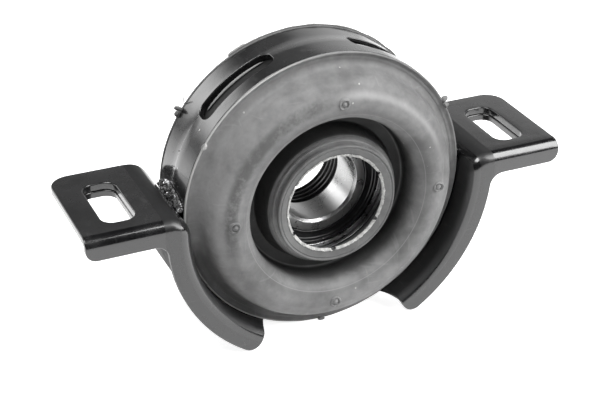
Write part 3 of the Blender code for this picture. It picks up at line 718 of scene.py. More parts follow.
@finish("cushion rubber", 0.62)
def moulded_rubber(look):
    """Matte moulded rubber with bloom, scuffs and pale dust, and painted shade and highlights by place.
    """
    base = tuple(finish_settings().rubber)
    look.give('Specular IOR Level', 0.2)
    bloom = look.group("mottle", scale=38.0)
    smear = look.group("mottle", scale=150.0)
    tone = look.mixed(bloom, shade(base, 0.62), shade(base, 1.35))
    scratches = look.group("hairline scratches", scale=70.0)
    dust = look.group("dust specks", scale=240.0, size=0.09)
    for mask, share, colour in [(smear, 0.35, shade(base, 0.8)), (scratches, 0.10, shade(base, 2.2)),
                                (dust, 0.5, (0.5, 0.5, 0.48))] + rubber_places(look, base, smear):
        tone = look.tinted(tone, mask, share, colour)
    look.give('Base Color', tone)
    look.give('Roughness', look.ranged(smear, 0.0, 1.0, 0.46, 0.62))
    look.grained(0.00010, fine=3800.0, broad=420.0, broad_share=0.6)


@finish("seal rubber", 0.38)
def seal_rubber(look):
    """Smooth black seal rubber with a faint sheen."""
    base = tuple(finish_settings().seal)
    film = look.group("mottle", scale=110.0)
    dust = look.group("dust specks", scale=420.0, size=0.12)
    tone = look.mixed(film, shade(base, 0.7), shade(base, 1.8))
    look.give('Base Color', look.tinted(tone, dust, 0.5, (0.45, 0.45, 0.44)))
    look.give('Roughness', look.ranged(film, 0.0, 1.0, 0.28, 0.46))
    look.grained(0.00004, fine=4200.0, broad=500.0, broad_share=0.5)


@finish("bare weld", 0.26)
def bare_weld(look):
    """Bare weld metal: bright bare patches over dark scale."""
    base = tuple(finish_settings().weld)
    patches = look.group("mottle", scale=330.0)
    bare = look.ranged(patches, 0.80, 0.90)
    look.give('Base Color', look.mixed(bare, shade(base, 0.015), shade(base, 1.9)))
    look.give('Metallic', bare)
    look.give('Roughness', look.ranged(patches, 0.0, 1.0, 0.16, 0.30))
    look.give('Coat Weight', 0.3)
    look.give('Coat Roughness', 0.08)
    look.grained(0.0005, fine=2200.0, broad=620.0, broad_share=0.8)


@finish("trimmed rubber", 0.7)
def trimmed_rubber(look):
    """Pale torn rubber where the moulding was cut off."""
    base = tuple(finish_settings().trim)
    tear = look.group("mottle", scale=620.0)
    look.give('Base Color', look.mixed(tear, shade(base, 0.55), shade(base, 1.2)))
    look.grained(0.0003, fine=3600.0, broad=1300.0, broad_share=0.6)


@finish("moulded nylon", 0.5)
def moulded_nylon(look):
    base = tuple(finish_settings().nylon)
    flow = look.group("mottle", scale=90.0)
    look.give('Base Color', look.mixed(flow, shade(base, 0.9), shade(base, 1.05)))
    look.give('Roughness', look.ranged(flow, 0.0, 1.0, 0.42, 0.58))
    look.grained(0.00003, fine=3000.0, broad=400.0, broad_share=0.5)


def ground_metal(name, tone, roughness, lines=0.00001):
    """Metal ground or turned round the axis: fine lines run round it, with stains."""
    if name in bpy.data.materials:
        return bpy.data.materials[name]
    look = Look(name, roughness, 1.0)
    rings = noise_value(look.tree, look.vector, 1.0, 2.0, 0.6, (40, 5200, 40))
    stain = look.group("mottle", scale=130.0)
    look.give('Base Color', look.mixed(stain, shade(tone, 0.92), shade(tone, 1.05)))
    look.give('Roughness', look.sum(look.ranged(stain, 0.0, 1.0, roughness * 0.8, roughness * 1.25),
                                    look.product(rings, 0.05)))
    look.give('Normal', bumped(look.tree, rings, lines))
    return look.material


# ---------------------------------------------------------------- ring and cushion

def ring_radius_at(y):
    """Outer radius of the pressed ring, which draws in at mid width with a fine crease."""
    past = y - RING_STEP_Y
    return (RING_RADIUS - CREASE * smooth_step(past / CREASE_LENGTH + 0.5)
            - (RING_STEP - CREASE) * smooth_step(past / STEP_LENGTH + 0.5))


def open_strip_ends(strip, around):
    """Takes off the two end faces of a flat strip, so that it can close on itself."""
    edit(strip)
    bpy.ops.mesh.select_mode(type='FACE')
    bpy.ops.mesh.select_all(action='DESELECT')
    bm = bmesh.from_edit_mesh(strip.data)
    for face in bm.faces:
        along = face.calc_center_median().x
        face.select = abs(face.normal.x) > 0.9 and min(along, around - along) < MM
    bmesh.update_edit_mesh(strip.data)
    bpy.ops.mesh.delete(type='ONLY_FACE')
    bpy.ops.mesh.select_mode(type='VERT')
    leave()


class RingPiece(bpy.types.Operator):
    """Pressed ring, rolled from a flat strip with two punched slots"""
    bl_idname = "bearing.ring"
    bl_label = "Outer ring"

    def execute(self, context):
        size = context.scene.bearing_ring
        around = 2 * pi * RING_RADIUS
        rear = RING_FRONT_Y + RING_DEPTH
        strip = blank("ring_shell", [(0, RING_FRONT_Y), (around, RING_FRONT_Y),
                                     (around, rear), (0, rear)], size.wall)
        half, end = RING_RADIUS * size.slot_span / 2, size.slot_width / 2
        turn = 0.76 * end
        for angle in SLOT_ANGLES:
            middle = (angle + pi / 2) * RING_RADIUS
            hole = [(middle - half, size.slot_y - end, turn), (middle + half, size.slot_y - end, turn),
                    (middle + half, size.slot_y + end, turn), (middle - half, size.slot_y + end, turn)]
            cut(strip, blank("slot_punch", rounded(hole, 12), 3 * size.wall, size.wall))
        open_strip_ends(strip, around)
        round_rims(strip, size.rim)
        score(strip, steps_between(0, around, around / 288)[1:-1],
              [RING_STEP_Y + side * k * MM for side in (-1, 1) for k in (0.1, 0.3, 1.5, 3, 4.5)]
              + [5 * MM, 22 * MM])

        def rolled(along, across, depth):
            angle = along / RING_RADIUS - pi / 2
            radius = ring_radius_at(across) - depth
            return Vector((radius * cos(angle), across, radius * sin(angle)))

        form(strip, rolled)
        hand_over(strip, "housing", painted(), ["outer_ring"])
        return {'FINISHED'}


def cushion_outline(size):
    """Half section of the cushion: rim, crown, recess, boot, collar and back."""
    wall = size.wall / MM
    lip = size.lip_radius / MM
    mouth = lip - size.lip_width / MM
    crown = size.crown_y / MM
    front = [(57.55, -0.6, 0.6), (52.5, 2.9, 3.4), (49.1, crown, 9.3), (34.4, crown, 7.2)]
    recess = [(33.9, 1.8, 1.6), (28.8, 1.8, 0.8)]
    boot = [(lip + 2.5, -4.9, 0.3), (lip + 2.3, -5.8, 0.4), (lip + 0.7, -5.7, 0.3),
            (lip + 0.5, -6.4, 0.25), (lip + 1.1, -6.7, 0.3), (lip + 0.9, -7.4, 0.35),
            (lip - 1.2, -7.6, 0.3), (lip - 1.2, -8.5, 0.3), (lip, -8.9, 0.35), (lip, -10.2, 0.5)]
    lip_face = [(lip - 0.6, -10.35, 0.3), (lip - 1.0, -9.85, 0.2), (lip - 1.5, -10.1, 0.3),
                (mouth + 0.5, -9.35, 0.3), (mouth, -9.1, 0.25), (mouth, -8.7, 0.25)]
    collar = [(lip - 2.7, -7.5, 0.8), (27.5, 3.2, 0.3), (33.4, 3.2, 1.8), (33.4, 29.0, 0.0),
              (36.4, 29.0, 0.8)]
    back = [(35.0 + wall, crown + wall, 3.0), (49.1 - wall, crown + wall, 7.0), (50.3, 15.0, 8.0)]
    rear_rim = [(51.1, 28.6, 0.5), (56.9, 28.6, 0.4), (56.9, 27.5, 0.1), (53.9, 27.75, 0.0)]
    seat = [(53.9, 16.2, 0.0), (54.7, 13.8, 0.0), (54.7, 0.58, 0.0), (57.45, 0.58, 0.1)]
    return scaled(rounded(front + recess + boot + lip_face + collar + back + rear_rim + seat, 9))


def notch_cutter(radius, reach=0.95 * MM):
    """Six short round bars that cut the notches of the mouth."""
    bars = []
    for k, angle in enumerate(NOTCH_ANGLES):
        bars.append(added(
            bpy.ops.mesh.primitive_cylinder_add, f"notch_bar_{k}", vertices=28,
            radius=reach * (1 + 0.12 * sin(5 * k)), depth=2.6 * MM, rotation=(pi / 2, 0, 0),
            location=(radius * cos(angle), -9.9 * MM, radius * sin(angle))))
    cutter = join("notch_bars", bars)
    bpy.ops.object.transform_apply(location=True, rotation=True, scale=True)
    return cutter


def move_points(piece, change):
    """Moves a turned piece's points: change(radius, y, angle) gives new radius and y."""
    for vertex in piece.data.vertices:
        x, y, z = vertex.co
        angle = atan2(z, x)
        radius, y = change(hypot(x, z), y, angle)
        vertex.co = (radius * cos(angle), y, radius * sin(angle))


def lumpy(x, y, z, scale, strength):
    return strength * noise.noise(Vector((x, y, z)) * scale)


RIM_FROM = 56.5 * MM               # what lies further out is the cushion's rim
RIM_WEAR = 0.10 * MM
RIM_SAG = 0.15 * MM                # the rim is this much larger at the bottom
FLOOR_GAP = 0.02 * MM
SWELL = 0.95 * MM                  # the crown's ridge lies this much further back
SWELL_FROM, SWELL_RISE = 43.5 * MM, 2.3 * MM
SWELL_TO, SWELL_FALL = 50.0 * MM, 3.4 * MM


def worn_cushion(radius, y, angle):
    """Unevenness of the moulding: its rim, its face and the ridge of its crown."""
    down = -sin(angle)
    if radius > RIM_FROM:
        radius += lumpy(cos(angle), sin(angle), y * 20, 9.0, RIM_WEAR)
        radius += RIM_SAG * smooth_step((down - 0.6) / 0.3)
        radius = min(radius, (RING_RADIUS - FLOOR_GAP) / max(down, 0.5))
    swell = lumpy(cos(angle), sin(angle), radius * 30, 2.2, 0.12 * MM)
    if y < -2 * MM and radius > 40 * MM:
        swell += (SWELL * smooth_step((radius - SWELL_FROM) / SWELL_RISE)
                  * smooth_step((SWELL_TO - radius) / SWELL_FALL))
    return radius, y + (swell if y < 0 else 0.0)


class CushionPiece(bpy.types.Operator):
    """Moulded rubber cushion with its rolled crown, recess and boot"""
    bl_idname = "bearing.cushion"
    bl_label = "Rubber cushion"

    def execute(self, context):
        size = context.scene.bearing_cushion
        cushion = turned("cushion", cushion_outline(size), size.steps)
        move_points(cushion, worn_cushion)
        cut(cushion, notch_cutter(size.lip_radius - size.lip_width))
        hand_over(cushion, "housing", moulded_rubber(), ["rubber_cushion"],
                  smooth=45, even=False)
        return {'FINISHED'}


class NubPieces(bpy.types.Operator):
    """Four moulding nubs on the crown"""
    bl_idname = "bearing.nubs"
    bl_label = "Nubs and vents"

    def execute(self, context):
        size = context.scene.bearing_cushion
        nubs = []
        profile = scaled([(2.5, 0.5), (2.3, -0.25), (2.0, -0.62), (1.65, -0.6), (1.45, -0.2),
                          (1.2, -0.1), (0.75, -0.6), (0.02, -0.8), (0.02, 0.5)])
        for k in range(4):
            nub = turned(f"nub_{k}", profile, 40)
            angle = radians(90 * k - 1)
            for vertex in nub.data.vertices:
                x, y, z = vertex.co
                ragged = lumpy(x + k, y, z, 700, 0.45 * MM) if y < 0.3 * MM else 0.0
                vertex.co = (x * (1 + 0.05 * sin(3 * k)), y + ragged, z)
            nub.location = (size.nub_radius * cos(angle), size.crown_y + 0.12 * MM,
                            size.nub_radius * sin(angle))
            nubs.append(nub)
        piece = join("moulding_nubs", nubs)
        select_only(piece)
        bpy.ops.object.transform_apply(location=True, rotation=True, scale=True)
        hand_over(tidied(piece), "housing", moulded_rubber(), smooth=50,
                  even=False)
        return {'FINISHED'}


def torn_tab(name, radius, y, angle, stretch, seed, ragged=0.55, lean=0.0):
    """Small torn lump of rubber on a rim; lean tips it over towards the top."""
    tab = added(bpy.ops.mesh.primitive_ico_sphere_add, name, subdivisions=4, radius=MM)
    for vertex in tab.data.vertices:
        radial, along, round_ = vertex.co
        lump = 1 + ragged * noise.noise(Vector((radial, along, round_)) * 900 + Vector((seed, 0, 0)))
        radial, along, round_ = (part * lump * reach for part, reach
                                 in zip((radial, along, round_), stretch))
        reach = radius + radial
        turn = angle + (round_ - lean * radial) / radius
        vertex.co = (reach * cos(turn), y + along, max(reach * sin(turn), 0.05 * MM - RING_RADIUS))
    return tab


def slot_bead(name, middle):
    """Low rounded rib of rubber along the floor of a slot, fading out at both ends."""
    reach, steps, sides, bar_length = radians(14.5), 72, 20, 30 * MM
    bead = extruded_bar(name, sides, bar_length, steps)

    def section(share, turn):
        angle = middle + reach * (2 * share - 1)
        fade = max(1 - (2 * share - 1) ** 2, 0.0) ** 0.4
        radius = 54.8 * MM + 0.9 * MM * fade * (cos(2 * pi * turn) - 0.1)
        return Vector((radius * cos(angle), 15.2 * MM + 0.5 * MM * fade * sin(2 * pi * turn),
                       radius * sin(angle)))

    shape_bar(bead, sides, bar_length, section)
    return bead


# place (radius, y) in millimetres and degrees, stretch, seed, raggedness and lean
REAR_TABS = (((58.0, 28.1), 146.4, (1.8, 0.8, 0.9), 11, 0.3, 0.0),
             ((57.4, 28.0), 148.2, (1.1, 0.8, 1.4), 12, 0.3, 0.0),
             ((58.3, 0.2), 31.0, (1.3, 1.0, 1.2), 13, 0.4, 0.0),
             ((58.0, 28.1), 142.6, (1.0, 0.3, 0.3), 17, 0.2, 1.28))


FLASH_FROM = 57.5 * MM
FLASH_STRIP = (111.2, 119.5)       # degrees round the axis where a strip stands out
FLASH_THIN = (32.0, 112.4)         # and where a thin line of it is left


def ragged_flash(radius, y, angle):
    """Draws the fin in, apart from its strip and its thin line."""
    if radius > FLASH_FROM:
        degree = angle / pi * 180
        strip = (smooth_step((degree - FLASH_STRIP[0]) / 1.2)
                 * smooth_step((FLASH_STRIP[1] - degree) / 0.8))
        thin = (smooth_step((degree - FLASH_THIN[0]) / 8)
                * smooth_step((FLASH_THIN[1] - degree) / 1.2))
        torn = noise.noise(Vector((cos(angle), sin(angle), 0.3)) * 9)
        fine = noise.noise(Vector((cos(angle), sin(angle), 7.3)) * 60)
        radius += (-1.5 + strip * (1.5 + 0.2 * fine)
                   + thin * (1.0 + 0.4 * torn + 0.1 * fine)) * MM
    return radius, y


def rim_flash():
    """Fin along the rear rim, with the vent tabs and the beads in the slots."""
    section = scaled([(56.0, 28.1), (57.9, 28.05), (58.0, 28.5), (56.0, 28.7)])
    fin = turned("rim_flash", section, 720)
    move_points(fin, ragged_flash)
    tabs = [torn_tab(f"tab_front_{k}", 57.4 * MM, -0.5 * MM, angle, (0.9, 1.0, 1.4), 3 + k)
            for k, angle in enumerate(VENT_ANGLES)]
    for k, ((radius, y), angle, stretch, seed, lumps, lean) in enumerate(REAR_TABS):
        tabs.append(torn_tab(f"tab_rear_{k}", radius * MM, y * MM, radians(angle), stretch,
                             seed, lumps, lean))
    beads = [slot_bead(f"slot_bead_{k}", middle) for k, middle in enumerate(SLOT_ANGLES)]
    return tidied(join("rim_flash", [fin] + tabs + beads))


def mouth_flash(mouth):
    """Trimmed edge of the boot's mouth, whose radius is given in millimetres."""
    section = [(0.85, -9.3), (0.75, -9.75), (0.3, -9.6), (-0.15, -9.3), (-0.2, -8.9), (0.1, -8.8),
               (0.4, -9.0)]
    ring = turned("mouth_flash", scaled([(mouth + out, y) for out, y in section]), 900)

    def trimmed(radius, y, angle):
        point = Vector((cos(angle), sin(angle), y * 300))
        width = 0.30 * noise.noise(point * 11) + 0.22 * noise.noise(point * 60)
        if radius > (mouth + 0.5) * MM:
            return radius + width * MM, y + 0.1 * MM * noise.noise(point * 80)
        return radius + 0.5 * width * MM, y + 0.22 * MM * noise.noise(point * 50)

    move_points(ring, trimmed)
    cut(ring, notch_cutter((mouth - 0.1) * MM))
    return tidied(ring)


class FlashPieces(bpy.types.Operator):
    """Thin torn flash along the rear rim, vent tabs and the pale trimmed edge of the mouth"""
    bl_idname = "bearing.flash"
    bl_label = "Rubber flash"

    def execute(self, context):
        size = context.scene.bearing_cushion
        hand_over(rim_flash(), "housing", moulded_rubber(), smooth=60, even=False)
        ring = mouth_flash((size.lip_radius - size.lip_width) / MM)
        hand_over(ring, "housing", trimmed_rubber(), smooth=60, even=False)
        return {'FINISHED'}


# ---------------------------------------------------------------- brackets

EAR_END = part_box("right_bracket")[1][0] - AXIS.x
EAR_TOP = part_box("right_bracket")[1][2] - AXIS.z
FLANGE_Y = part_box("right_bracket")[0][1] - AXIS.y
EAR_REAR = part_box("right_bracket")[1][1] - AXIS.y
WEB_RADIUS = RING_RADIUS + GAP
EAR_BEND = 8.0 * MM
EAR_CORNER = 8.0 * MM
FLANGE_BEND = 4.2 * MM
FLANGE_DEPTH = 8.9 * MM
LEG_FLANGE = 9.7 * MM
CROTCH = 5.5 * MM
WEB_REAR = 27.0 * MM
WEB_TOE = 22.0 * MM
LEG_END = radians(-60.2)
TOE = radians(4.4)
TOE_SHEAR = 0.6
REAR_LEAD = 4.2 * MM
SLOT_CENTRE = Vector((16.3 * MM, 13.6 * MM))

BEND_X = sqrt((WEB_RADIUS + EAR_BEND) ** 2 - (EAR_TOP - EAR_BEND) ** 2)
BEND_Z = EAR_TOP - EAR_BEND
CROTCH_Z = EAR_TOP - FLANGE_DEPTH - CROTCH
CROTCH_X = sqrt((WEB_RADIUS + LEG_FLANGE + CROTCH) ** 2 - CROTCH_Z ** 2)
EAR_RUN = EAR_END - BEND_X
BEND_TURN = atan2(-BEND_Z, -BEND_X) % (2 * pi) - pi / 2
WEB_START = EAR_RUN + EAR_BEND * BEND_TURN
WEB_ANGLE = atan2(BEND_Z, BEND_X)
LEG_RUN = WEB_START + (WEB_ANGLE - LEG_END) * WEB_RADIUS
BEND_Y = FLANGE_Y + FLANGE_BEND
FOLD_RUN = FLANGE_BEND * pi / 2
CROTCH_FROM = EAR_END - CROTCH_X
CROTCH_TO = WEB_START + (WEB_ANGLE - atan2(CROTCH_Z, CROTCH_X)) * WEB_RADIUS


def plate_path(along):
    """Place (x, z) of the plate's upper side and its normal's direction, from the ear's end."""
    if along < EAR_RUN:
        return EAR_END - along, EAR_TOP, pi / 2
    if along < WEB_START:
        angle = pi / 2 + (along - EAR_RUN) / EAR_BEND
        return BEND_X + EAR_BEND * cos(angle), BEND_Z + EAR_BEND * sin(angle), angle
    angle = WEB_ANGLE - (along - WEB_START) / WEB_RADIUS
    return WEB_RADIUS * cos(angle), WEB_RADIUS * sin(angle), angle + pi


def rear_edge(along):
    """Rear edge of the plate, which steps forward from ear to web and again to the toe."""
    sweep = REAR_LEAD + EAR_BEND * pi / 2
    run = min(max(along - EAR_RUN + REAR_LEAD, 0.0), sweep)
    if along > WEB_START:
        share = (along - WEB_START) / (LEG_RUN - WEB_START)
        return WEB_REAR + (WEB_TOE - WEB_REAR) * share
    return WEB_REAR + (EAR_REAR - WEB_REAR) * sqrt(max(1 - (run / sweep) ** 2, 0.0))


def flange_run(along):
    """Flat length of the flange below its bend."""
    share = smooth_step((along - CROTCH_FROM) / (CROTCH_TO - CROTCH_FROM))
    return FLANGE_DEPTH - FLANGE_BEND + (LEG_FLANGE - FLANGE_DEPTH) * share


def flange_edge(along):
    """Outer edge (x, z) of the flange."""
    if along < CROTCH_FROM:
        return EAR_END - along, EAR_TOP - FLANGE_DEPTH
    if along < CROTCH_TO:
        stop = atan2(-CROTCH_Z, -CROTCH_X) % (2 * pi)
        angle = pi / 2 + (stop - pi / 2) * (along - CROTCH_FROM) / (CROTCH_TO - CROTCH_FROM)
        return CROTCH_X + CROTCH * cos(angle), CROTCH_Z + CROTCH * sin(angle)
    angle = WEB_ANGLE - (along - WEB_START) / WEB_RADIUS
    radius = WEB_RADIUS + LEG_FLANGE
    return radius * cos(angle), radius * sin(angle)


def toe_reach(y):
    return TOE * WEB_RADIUS * min(max((y + 8 * MM) / (10 * MM), 0.0), 1.0) ** 1.2


def folded(side, along, across, depth):
    """Point of a bracket sheet after pressing; across is Y and runs on down the flange."""
    near = smooth_step((along - LEG_RUN + 2 * TOE * WEB_RADIUS) / (2 * TOE * WEB_RADIUS))
    along -= near * TOE_SHEAR * toe_reach(across) * min(depth / (3 * MM), 1.0)
    x, z, normal = plate_path(along)
    past = BEND_Y - across
    if past <= FOLD_RUN:
        y = across
        if past > 0:
            turn, inner = past / FLANGE_BEND, FLANGE_BEND - depth
            depth, y = FLANGE_BEND - inner * cos(turn), BEND_Y - inner * sin(turn)
        return Vector((side * (x - depth * cos(normal)), y, z - depth * sin(normal)))
    share = (past - FOLD_RUN) / flange_run(along)
    start = Vector((x - FLANGE_BEND * cos(normal), z - FLANGE_BEND * sin(normal)))
    place = start.lerp(Vector(flange_edge(along)), share)
    return Vector((side * place.x, FLANGE_Y + depth, place.y))


def arc(centre, radii, start, stop, steps):
    """Points of an elliptical arc, in degrees."""
    angles = [radians(start + (stop - start) * k / steps) for k in range(steps + 1)]
    return [(centre[0] + radii[0] * cos(a), centre[1] + radii[1] * sin(a)) for a in angles]


def bracket_outline():
    """Flat outline of the main plate with its flange, as (along, across) points."""
    low_ear = BEND_Y - FOLD_RUN - flange_run(0)
    low_leg = BEND_Y - FOLD_RUN - flange_run(LEG_RUN)
    corner, leg_corner = 4.3 * MM, 5.0 * MM
    leg_stretch = WEB_RADIUS / (WEB_RADIUS + LEG_FLANGE)
    outline = arc((EAR_CORNER, EAR_REAR - EAR_CORNER), (EAR_CORNER, EAR_CORNER), 180, 90, 12)
    outline += [(s, rear_edge(s)) for s in steps_between(EAR_CORNER, LEG_RUN, 1.4 * MM)[1:-1]]
    end = LEG_RUN + toe_reach(WEB_TOE)
    outline += arc((end - 1.5 * MM, WEB_TOE - 1.5 * MM), (1.5 * MM, 1.5 * MM), 90, 0, 5)
    outline += [(LEG_RUN + toe_reach(y), y)
                for y in steps_between(-8.5 * MM, 15 * MM, 1.2 * MM)[::-1]]
    outline += arc((LEG_RUN - leg_corner * leg_stretch, low_leg + leg_corner),
                   (leg_corner * leg_stretch, leg_corner), 0, -90, 8)
    outline += [(s, BEND_Y - FOLD_RUN - flange_run(s))
                for s in steps_between(corner, LEG_RUN - leg_corner, 1.4 * MM)[::-1][1:-1]]
    outline += arc((corner, low_ear + corner), (corner, corner), -90, -180, 8)
    return outline


def slot_outline(size):
    half_width, half_length = size.slot_width / 2, size.slot_length / 2
    x, y = SLOT_CENTRE
    corner = 4.5 * MM
    return rounded([(x + across * half_width, y + along * half_length, corner)
                    for across, along in ((-1, -1), (1, -1), (1, 1), (-1, 1))], 9)


def punched(name, outline, size, thickness):
    sheet = blank(name, outline, thickness)
    cut(sheet, blank("slot_punch", slot_outline(size), 3 * thickness, thickness))
    round_rims(sheet, size.rim)
    return sheet


class BracketPieces(bpy.types.Operator):
    """Main plates: slotted ear, web on the ring and a flange along the front"""
    bl_idname = "bearing.brackets"
    bl_label = "Brackets"

    def execute(self, context):
        size = context.scene.bearing_bracket
        along = steps_between(4 * MM, EAR_RUN - MM, 3.2 * MM)
        along += steps_between(EAR_RUN, WEB_START, 0.9 * MM)
        along += steps_between(WEB_START + 1.3 * MM, LEG_RUN + toe_reach(1), 1.6 * MM)[:-1]
        across = [BEND_Y - FOLD_RUN * k / 8 for k in range(9)]
        across += steps_between(BEND_Y + 3 * MM, EAR_REAR - 4 * MM, 4 * MM)
        across += [BEND_Y - FOLD_RUN - 2.4 * MM]
        for side, word in ((-1, "left"), (1, "right")):
            sheet = punched(f"{word}_plate", bracket_outline(), size, size.plate)
            score(sheet, along, across)
            form(sheet, lambda s, t, w, side=side: folded(side, s, t, w))
            hand_over(sheet, "housing", painted(), [f"{word}_bracket"])
        return {'FINISHED'}


class SecondPlatePieces(bpy.types.Operator):
    """Second plates, nested under the ears and down the outside of the webs"""
    bl_idname = "bearing.second_plates"
    bl_label = "Second plates"

    def execute(self, context):
        size = context.scene.bearing_bracket
        start, front = 7 * MM, BEND_Y + GAP
        stop = WEB_START + (WEB_ANGLE + radians(33)) * WEB_RADIUS
        inset = 0.8 * MM
        corner = EAR_CORNER
        rear = EAR_REAR - inset
        outline = arc((start + corner, rear - corner), (corner, corner), 180, 90, 12)
        outline += [(s, rear_edge(s) - inset)
                    for s in steps_between(start + corner, stop, 1.4 * MM)[1:-1]]
        outline += [(stop, rear_edge(stop) - inset - MM), (stop, front + MM), (stop - MM, front),
                    (start + MM, front), (start, front + MM)]
        along = steps_between(start + 2 * MM, EAR_RUN - MM, 3.2 * MM)
        along += steps_between(EAR_RUN, WEB_START, 0.9 * MM)
        along += steps_between(WEB_START + 1.3 * MM, stop, 1.6 * MM)[:-1]
        across = steps_between(front + 3 * MM, EAR_REAR - 5 * MM, 4.5 * MM)

        def pressed(side, s, t, w):
            share = (s - WEB_START) / (stop - WEB_START)
            bow = 1.8 * MM * sin(pi * min(max(share, 0.0), 1.0))
            return folded(side, s, max(t, BEND_Y), size.plate + GAP + bow + w)

        for side, word in ((-1, "left"), (1, "right")):
            sheet = punched(f"{word}_second_sheet", outline, size, size.second_plate)
            score(sheet, along, across)
            form(sheet, lambda s, t, w, side=side: pressed(side, s, t, w))
            hand_over(sheet, "housing", painted(), [f"{word}_second_plate"])
        return {'FINISHED'}


def extruded_bar(name, sides, length_, steps):
    """Closed round bar along Y, ready to be shaped station by station."""
    bar = added(bpy.ops.mesh.primitive_circle_add, name, vertices=sides, radius=MM,
                fill_type='NGON', rotation=(pi / 2, 0, 0))
    bpy.ops.object.transform_apply(location=True, rotation=True, scale=True)
    edit(bar)
    for _ in range(steps):
        bpy.ops.mesh.extrude_region_move(TRANSFORM_OT_translate={"value": (0, length_ / steps, 0)})
    tidy_mesh()
    leave()
    return bar


def shape_bar(bar, sides, length_, section):
    """Moves each point of a bar: section(share, k) gives point k of the section there."""
    for vertex in bar.data.vertices:
        x, y, z = vertex.co
        k = round(atan2(z, x) / (2 * pi) * sides) % sides
        vertex.co = section(y / length_, k / sides)
    tidied(bar)


def spatter(seed, count, place):
    """Small flattened drops of weld metal; place(a, b) puts one on its surface."""
    drops = []
    for k in range(count):
        a = 0.5 + 0.5 * noise.noise(Vector((seed + 3.7 * k, 0.2, 0.9)) * 1.3)
        b = 0.5 + 0.5 * noise.noise(Vector((0.4, seed + 5.1 * k, 2.9)) * 1.7)
        radius = (0.22 + 0.35 * abs(noise.noise(Vector((k, seed, 0.5)) * 2.3))) * MM
        drops.append(added(bpy.ops.mesh.primitive_ico_sphere_add, f"drop_{k}", subdivisions=2,
                           radius=radius, location=place(a, b)))
    return drops


WELD_SIDES = 36
WELD_SEAT = 0.2 * MM               # clearance to the ring and to the sheet
BEAD_FRONT, BEAD_BACK = 1.4 * MM, 25.2 * MM
BEAD_ROOT = radians(3.6)           # where the bead starts on the ring
BEAD_REACH = radians(4.6)          # how far it runs up the ring at its widest
BEAD_RIPPLES = 9
FILLET_FROM, FILLET_SPAN = radians(-38), radians(20)
FILLET_LEG = 3.4 * MM
FILLET_RIPPLES = 8
FILLET_BAR = 20 * MM


def groove_bead(side, share, turn):
    """Bead between ring and ear: up the ring, over the rippled crest and down the bend."""
    y = BEAD_FRONT + (BEAD_BACK - BEAD_FRONT) * share
    taper = max(sin(pi * min(max(share, 0.03), 0.97)), 0.0) ** 0.3
    ring = ring_radius_at(y) + WELD_SEAT
    low, high = (Vector((ring * cos(a), ring * sin(a)))
                 for a in (BEAD_ROOT, BEAD_ROOT + BEAD_REACH * taper))
    seat = EAR_BEND + WELD_SEAT
    foot, shelf = (Vector((BEND_X - seat * cos(asin((z - BEND_Z) / seat)), z))
                   for z in (low.y, low.y + (high.y - low.y) * 0.25))
    if turn < 0.25:
        place = low.lerp(high, turn / 0.25) + Vector((-0.12 * MM, 0))
    elif turn < 0.75:
        across = (turn - 0.25) / 0.5
        place = high.lerp(shelf, across)
        ripple = 0.28 * cos(2 * pi * BEAD_RIPPLES * share + 0.8 * sin(9 * share))
        rough = noise.noise(Vector((share * 19, across * 3.5, side * 2.0)))
        rough += 0.5 * noise.noise(Vector((share * 55, across * 9, side * 5.0)))
        crest = MM * sin(pi * across)
        place.y += (0.35 + 0.7 * ripple + 0.8 * rough) * taper * crest
        place.x += 0.6 * rough * crest
    else:
        place = shelf.lerp(foot, (turn - 0.75) / 0.25)
    return Vector((side * place.x, y, place.y))


def toe_fillet(side, share, turn):
    """Fillet behind the leg: back along the ring, over the rippled face and down the sheet."""
    angle = FILLET_FROM - FILLET_SPAN * share
    taper = 0.35 + 0.65 * sin(pi * min(max(share, 0.05), 0.95)) ** 0.4
    leg = FILLET_LEG * taper
    down = (WEB_ANGLE - angle) / (WEB_ANGLE - LEG_END)
    edge = WEB_REAR + (WEB_TOE - WEB_REAR) * down + WELD_SEAT
    seat = RING_RADIUS - RING_STEP + 0.15 * MM
    if turn < 0.25:
        radius, y = seat, edge + 0.85 * leg * turn / 0.25
    elif turn < 0.75:
        across = (turn - 0.25) / 0.5
        rough = noise.noise(Vector((share * 14, across * 3, side * 8.0)))
        ripple = 0.25 * cos(2 * pi * FILLET_RIPPLES * share)
        bulge = (0.5 + ripple + 0.6 * rough) * MM * sin(pi * across)
        radius = seat + leg * across + 0.5 * bulge
        y = edge + 0.85 * leg * (1 - across) + 0.5 * bulge
    else:
        radius, y = seat + leg * (1 - turn) / 0.25, edge
    return Vector((side * radius * cos(angle), y, radius * sin(angle)))


def on_ring(side, a, b):
    """Place of a drop of spatter on the ring above the bead."""
    y = (3 + 21 * a) * MM
    angle = radians(8.5 + 17 * b * b)
    radius = ring_radius_at(y)
    return side * radius * cos(angle), y, radius * sin(angle)


def weld_bar(name, side, bar_length, steps, shape):
    bar = extruded_bar(name, WELD_SIDES, bar_length, steps)
    shape_bar(bar, WELD_SIDES, bar_length, lambda share, turn: shape(side, share, turn))
    return bar


class WeldPieces(bpy.types.Operator):
    """Rippled beads in the grooves beside the ring, and the fillets behind the legs"""
    bl_idname = "bearing.welds"
    bl_label = "Welds"

    def execute(self, context):
        for side, word in ((-1, "left"), (1, "right")):
            bar = weld_bar(f"{word}_bead", side, BEAD_BACK - BEAD_FRONT, 96, groove_bead)
            drops = spatter(4.0 + side, 16, lambda a, b, side=side: on_ring(side, a, b))
            piece = join(f"{word}_bead", [bar] + drops)
            hand_over(piece, "housing", bare_weld(), [f"{word}_groove_weld"],
                      smooth=70, even=False)
            bar = weld_bar(f"{word}_fillet", side, FILLET_BAR, 64, toe_fillet)
            hand_over(bar, "housing", bare_weld(), [f"{word}_toe_weld"],
                      smooth=70, even=False)
        return {'FINISHED'}


# ---------------------------------------------------------------- bearing

